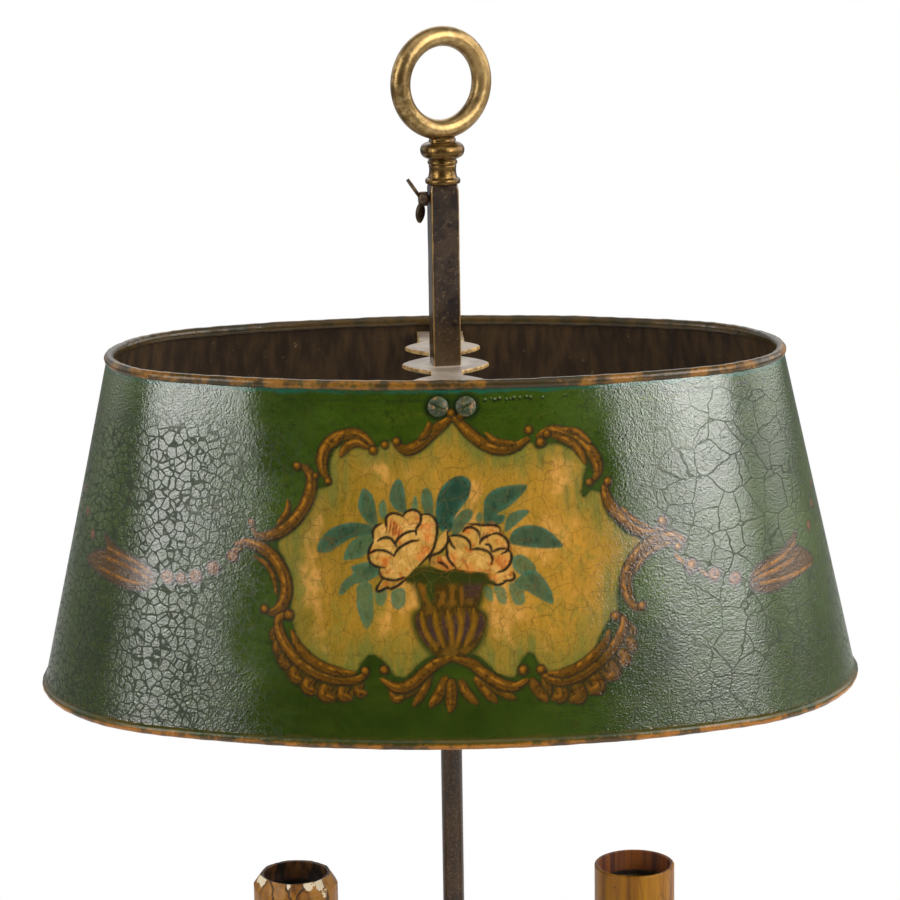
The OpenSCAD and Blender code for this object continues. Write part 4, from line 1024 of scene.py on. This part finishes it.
def sleeve():
    """The square sleeve: rounded worn arrises, dents, and slightly hollow faces."""
    outline, flat = [], SLEEVE_W - ARRIS
    for q in range(4):
        cx, cy = flat * (1 if q in (0, 3) else -1), flat * (1 if q in (0, 1) else -1)
        outline += [(cx + ARRIS * math.cos(q * PI / 2 + t), cy + ARRIS * math.sin(q * PI / 2 + t))
                    for t in np.linspace(0, PI / 2, 6)]
        nx, ny = math.cos((q + 1) * PI / 2), math.sin((q + 1) * PI / 2)
        outline += [(nx * SLEEVE_W - ny * s * flat, ny * SLEEVE_W + nx * s * flat)
                    for s in np.linspace(-1, 1, 9)[1:-1]]
    ring = np.array(outline)
    angle = np.arctan2(ring[:, 1], ring[:, 0])
    z = np.arange(BRIDGE_Z - 2, SLEEVE_TOP + 0.01, 1.1)
    z[-1] = SLEEVE_TOP
    rows = []
    for k, level in enumerate(z):
        dent = 0.10 * np.sin(level / 9.0 + 3 * angle) + 0.07 * np.sin(level / 3.7 - 5 * angle)
        shrink = 0.10 + 0.5 * np.abs(dent) + (0.35 if k in (0, len(z) - 1) else 0.0)
        rows.append(np.c_[ring * (1 - shrink[:, None] / SLEEVE_W), np.full(len(ring), level)])
    for level in (SLEEVE_TOP, BRIDGE_Z - 2):
        rows.append(np.c_[ring * (SLEEVE_IN / SLEEVE_W), np.full(len(ring), level)])
    p = np.array(rows)
    c, s = math.cos(TURN), math.sin(TURN)
    p = np.stack([p[..., 0] * c - p[..., 1] * s, p[..., 0] * s + p[..., 1] * c, p[..., 2]], -1)
    o = grid_mesh("sleeve_body", p, closed=True, sharp=50)
    o.data.materials.append(sleeve_material())
    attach(o, "carriage")
    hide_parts("shade_sleeve")


# where plaster shows at the left candle's mouth: angle, width, depth
CHIPS = ((-46, 0.26, 11), (-68, 0.10, 8), (196, 0.16, 7), (172, 0.10, 9), (140, 0.14, 6),
         (44, 0.13, 6), (-150, 0.12, 6), (-98, 0.07, 5))


def whittled(angle, t):
    """Radius of the left candle at the distance t below its mouth: nine cuts and a cone."""
    cut = np.full(len(angle), 99.0)
    for i in range(9):
        c = np.cos(angle - math.radians(40 * i + 8 + 5 * math.sin(3 * i)))
        d = 16.1 + (0.62 + 0.10 * math.sin(5 * i)) * t
        cut = np.where(c > 0.2, np.minimum(cut, d / np.maximum(c, 0.2)), cut)
    nick = 0.25 * np.clip(np.sin(11 * angle + t) * np.sin(17 * angle - 0.7 * t), 0, 1) * (t < 7)
    return np.minimum(CANDLE_LEFT_R, 0.55 * cut + 0.45 * (16.4 + 0.66 * t)) - nick


def rounded(t):
    """Radius of the right candle, whose mouth has a rounded edge."""
    return CANDLE_R - 1 + math.sqrt(1 - max(0.0, 1 - t) ** 2)


def chipped(angle, t):
    return sum(np.exp(-(((angle - math.radians(at) + PI) % (2 * PI) - PI) / wide) ** 2)
               * max(0.0, 1 - t / deep) for at, wide, deep in CHIPS)


def candle(name, node, x, z_top, left, outside, bore):
    """A candle sleeve: the left one is thicker and whittled down in flats at its mouth."""
    th = np.linspace(0, 2 * PI, 240, endpoint=False)
    rng = np.random.default_rng(8 if left else 9)
    waves = sum(rng.uniform(0.03, 0.10) * np.sin(k * th + rng.uniform(0, 6)) for k in (2, 3, 5, 8))
    waves = np.minimum(waves, 0) * (0.6 if left else 0.3) - 0.05
    depth = np.concatenate([[0], np.linspace(0.15, 9, 30), np.linspace(10, CANDLE_LEN, 60)])
    outer = np.array([cylinder((whittled(th, t) if left else rounded(t)) + waves, th, z_top - t)
                      for t in depth])
    inner = [outer[0]]
    for t in np.linspace(0.4, CANDLE_LEN, 40):
        lip = 2.2 * max(0.0, 1 - t / 6.5) if left else 0.0
        r = CANDLE_IN + 0.05 - lip + 0.12 * np.sin(4 * th + 1) * min(1.0, lip)
        inner.append(cylinder(r, th, z_top - t))
    place = np.array([x, 0, 0])
    body = grid_mesh("candle_" + name + "_outside", outer + place, flip=True,
                     sharp=34 if left else None)
    hole = grid_mesh("candle_" + name + "_inside", np.array(inner) + place, sharp=30)
    if left:
        body.data.attributes.new("chip", "FLOAT", "POINT").data.foreach_set(
            "value", np.ravel([chipped(th, t) for t in depth]).astype(np.float32))
    for o, material in ((body, outside), (hole, bore)):
        o.data.materials.append(material)
        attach(o, "stand")
    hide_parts(node)


STRAP_T, STRAP_EDGE, STRAP_HALF, TAB_HALF, LOBE_PITCH, SHIFT = 1.9, 0.4, 7.2, 11, 41, 3.0


def lobe(y, mid, half, deep, power=1.45):
    v = np.clip(np.abs(y - mid) / deep, 0, 1)
    return half * np.clip(1 - v ** power, 0, None) ** (1 / power)


def strap():
    """The bridge: three pointed lobes on a flat strap, and a tab down the sheet at each end."""
    reach = float(-oval(0.0, wall_off(148) - SHEET_IN, 148.0)[1]) - 0.5
    y = np.concatenate([np.linspace(-reach, -60, 12), np.arange(-59.8, 59.9, 0.2),
                        np.linspace(60, reach, 12)])
    half = np.maximum(STRAP_HALF, lobe(y, 0, 19.9, 19.6))
    for s in (-1, 1):
        half = np.maximum(half, lobe(y, s * LOBE_PITCH, 17.6, 16.5))
        end = STRAP_HALF + 3.7 * smooth(s * y, 52, 55)
        half = np.where(s * y > 52, np.maximum(half, end), half)
    turn = math.asin(SHIFT / (SIDE_R - SIDE_K - 36))
    c, s = math.cos(turn), math.sin(turn)
    across, nine = np.linspace(-1, 1, 9), np.ones(9)
    e, top, low = STRAP_EDGE, BRIDGE_Z, BRIDGE_Z - STRAP_T
    level = np.r_[top * nine, top - e, low + e, low * nine, low + e, top - e]
    rows = []
    for yy, w in zip(y, half):
        x = np.r_[across * (w - e), w, w, across[::-1] * (w - e), -w, -w]
        rows.append(np.stack([x * c - yy * s, x * s + yy * c, level], -1))
    v, q = [np.array(rows).reshape(-1, 3)], [grid_faces(len(y), 22)]
    for face in (0, HALF):
        rows = []
        for z in np.linspace(148, 137.2, 12):
            u = np.linspace(-TAB_HALF, TAB_HALF, 15) * (1 if z > 139 else 0.93)
            off = wall_off(z) - SHEET_IN - 0.12
            u = face + (u + SHIFT) * SIDE_R / (SIDE_R + off)
            rows.append(np.concatenate([oval(u, off, z), oval(u, off - 1.7, z)[::-1]]))
        q.append(grid_faces(12, 30, start=sum(len(k) for k in v)))
        v.append(np.array(rows).reshape(-1, 3))
    o = mesh_from("strap", np.vstack(v), np.vstack(q), sharp=35)
    o.data.materials.append(strap_reflection_material())
    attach(o, "carriage")
    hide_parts("bridge")


COLLAR = [(5.2, 0.0), (7.4, 0.0), (7.85, 0.3), (8.0, 1.0), (7.98, 1.7), (7.7, 2.3), (7.1, 2.6),
          (6.75, 3.0), (6.4, 3.9), (6.22, 5.0), (6.15, 6.2), (6.2, 7.3), (6.35, 8.1), (6.2, 8.35),
          (6.2, 8.6), (6.6, 8.9), (6.8, 9.5), (6.75, 10.2), (6.4, 10.6), (6.3, 10.9), (6.6, 11.2),
          (7.7, 11.7), (8.9, 12.4), (9.7, 13.5), (10.05, 14.8), (9.95, 16.1), (9.4, 17.3),
          (8.3, 18.2), (7.0, 18.7), (6.3, 18.9), (5.9, 19.4), (5.7, 20.2), (5.0, 21.0),
          (3.4, 21.3), (0.4, 21.3)]


def collar(brass):
    """The turned collar: foot, cove, thin bead, round knob, and solder round the ring's foot."""
    th = np.linspace(0, 2 * PI, 128, endpoint=False)
    worn = 0.04 * np.sin(3 * th + 1) + 0.03 * np.sin(7 * th)
    rows = []
    for r, z in curve(COLLAR, step=0.22):
        lump = (0.35 * np.sin(2 * th + 0.7) + 0.2 * np.sin(5 * th)) * smooth(z, 18.9, 19.6)
        rr = np.maximum(0.2, np.minimum(r + worn - 0.05 + lump * min(1.0, r / 5), 10.1))
        rows.append(cylinder(rr, th, SLEEVE_TOP + 0.3 + z))
    o = grid_mesh("collar", np.array(rows), sharp=60)
    o.data.materials.append(brass)
    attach(o, "stand")
    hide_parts("finial_collar")


sleeve()
strap()
collar(metal("collar_brass", lin(56, 38, 14), lin(94, 70, 32), lin(156, 120, 62), 0.28, 0.85, 90))
candle("right", "candle_sleeve_right", 86.0, 305.2, False,
       candle_outside("candle_right_wood", lin(92, 52, 0), lin(128, 82, 0), lin(156, 108, 8), 0.25),
       candle_inside("candle_right_bore", lin(66, 28, 2), lin(116, 60, 6)))
candle("left", "candle_sleeve_left", -75.0, 302.8, True,
       candle_outside("candle_left_wood", lin(88, 50, 4), lin(132, 84, 16), lin(168, 116, 36), 0.9,
                      True),
       candle_inside("candle_left_bore", lin(26, 15, 4), lin(88, 52, 18)))

# ---------------------------------------------------------------- finishes on the CAD pieces

brass = metal("old_brass", lin(106, 84, 50), lin(160, 132, 84), lin(196, 170, 118), 0.36, 0.85)
ring_brass = metal("ring_brass", lin(98, 76, 40), lin(148, 120, 74), lin(188, 160, 110), 0.33,
                   0.85, 45)
bronze = metal("brown_patina", lin(44, 32, 20), lin(78, 58, 38), lin(124, 100, 70), 0.38, 0.55, 80)
rod_bronze = metal("rod_patina", lin(34, 20, 4), lin(54, 35, 12), lin(104, 74, 40), 0.34, 0.35,
                   120, 0.5)
steel = metal("plain_steel", lin(120, 120, 120), lin(168, 168, 168), lin(200, 200, 200), 0.42, 0.9)
iron = metal("cast_iron", lin(44, 40, 38), lin(66, 60, 56), lin(98, 90, 82), 0.6, 0.5, 120)
felt = plain("green_felt", lin(24, 46, 28), lin(48, 76, 46), 900, 0.95, 0.0008)
insulator = plain("dark_insulator", lin(22, 16, 12), lin(40, 30, 24), 80, 0.35)
sheath = plain("lead_sheath", lin(32, 26, 20), lin(56, 46, 36), 200, 0.6)

FINISHES = (
    (brass, "base_dish base_rim column hub hub_knop arm_left arm_right cup_left cup_right "
            "pan_left pan_right shell_left shell_right contact_left contact_right guide_liner"),
    (steel, "bottom_plate clamp_bar base_nut stem_left stem_right stem_nuts"),
    (iron, "base_weight top_wire bottom_wire"),
    (insulator, "cord_inlet terminal_block lampholder_left lampholder_right"),
    (felt, "felt_pad"), (sheath, "lead_left lead_right"), (rod_bronze, "rod"),
    (bronze, "wing_screw"), (ring_brass, "finial_ring"), (screw_material(), "bridge_screws"),
)
for material, names in FINISHES:
    for name in names.split():
        NODES[name].data.materials.clear()
        NODES[name].data.materials.append(material)


def edges_rounded(name, width):
    """Rounds the sharp edges of a CAD piece a little."""
    weld = NODES[name].modifiers.new("weld", "WELD")
    weld.merge_threshold = 0.00002
    bevel = NODES[name].modifiers.new("edges", "BEVEL")
    bevel.width = width * MM
    bevel.segments = 3
    bevel.limit_method = "ANGLE"
    bevel.angle_limit = math.radians(32)
    bevel.harden_normals = False


for name, width in (("bridge_screws", 0.2), ("wing_screw", 0.25), ("base_dish", 0.3),
                    ("cup_left", 0.2), ("cup_right", 0.2)):
    edges_rounded(name, width)

# ---------------------------------------------------------------- floor and light


def make_floor():
    """A white floor, lit near the lamp and plain white to the camera farther out."""
    g = Graph("floor")
    diffuse = g.new("BsdfDiffuse", {"Color": (0.8, 0.8, 0.8)}).outputs[0]
    white = g.new("Emission", {"Color": (1, 1, 1)}).outputs[0]
    seen = g.new("LightPath").outputs["Is Camera Ray"]
    far = g.mul(seen, g.span(g.radius(), 0.2, 0.62))
    g.put(g.out, g.new("MixShader", {0: far, 1: diffuse, 2: white}).outputs[0])
    s = 30000
    corners = np.array([(-s, -s, 0), (s, -s, 0), (s, s, 0), (-s, s, 0)])
    floor = mesh_from("floor", corners, np.array([[0, 1, 2, 3]]))
    floor.location.z = -0.0002
    floor.data.materials.append(g.m)


def make_world():
    """White to the camera; what shines sees a white backdrop behind the lamp and a dim
    studio before it."""
    g = Graph("studio", world=True)
    bpy.context.scene.world = g.m

    def glow(strength):
        return g.new("Background", {"Color": (1, 1, 1), "Strength": strength}).outputs[0]

    def either(fac, a, b):
        return g.new("MixShader", {0: fac, 1: a, 2: b}).outputs[0]

    ray = g.new("LightPath").outputs
    shiny = g.math("MAXIMUM", ray["Is Glossy Ray"], ray["Is Transmission Ray"])
    shine = either(g.span(g.axis("Y"), 0.45, 0.95), glow(0.03), glow(0.65))
    g.put(g.out, either(ray["Is Camera Ray"], either(shiny, glow(0.20), shine), glow(1.0)))


def softbox(name, azimuth, elevation, dist, w, h, power):
    data = bpy.data.lights.new(name, "AREA")
    data.shape = "RECTANGLE"
    data.size, data.size_y = w, h
    data.energy = power
    o = bpy.data.objects.new(name, data)
    bpy.context.scene.collection.objects.link(o)
    a, e = math.radians(azimuth), math.radians(elevation)
    d = Vector((math.sin(a) * math.cos(e), -math.cos(a) * math.cos(e), math.sin(e)))
    o.location = Vector((0, 0, 0.48)) + d * dist
    o.rotation_euler = d.to_track_quat("Z", "Y").to_euler()


make_floor()
make_world()
softbox("left", -56, 22, 1.7, 0.78, 1.2, 22)
softbox("right", 53, 27, 1.7, 0.9, 1.2, 34)
softbox("right_side", 106, 22, 1.7, 1.5, 1.2, 20)
softbox("left_side", -114, 22, 1.7, 1.2, 1.2, 6)
softbox("above", 0, 72, 1.8, 1.4, 1.4, 8)
softbox("behind", 180, 35, 1.8, 1.6, 1.0, 8)
bpy.context.scene.view_settings.view_transform = "Standard"
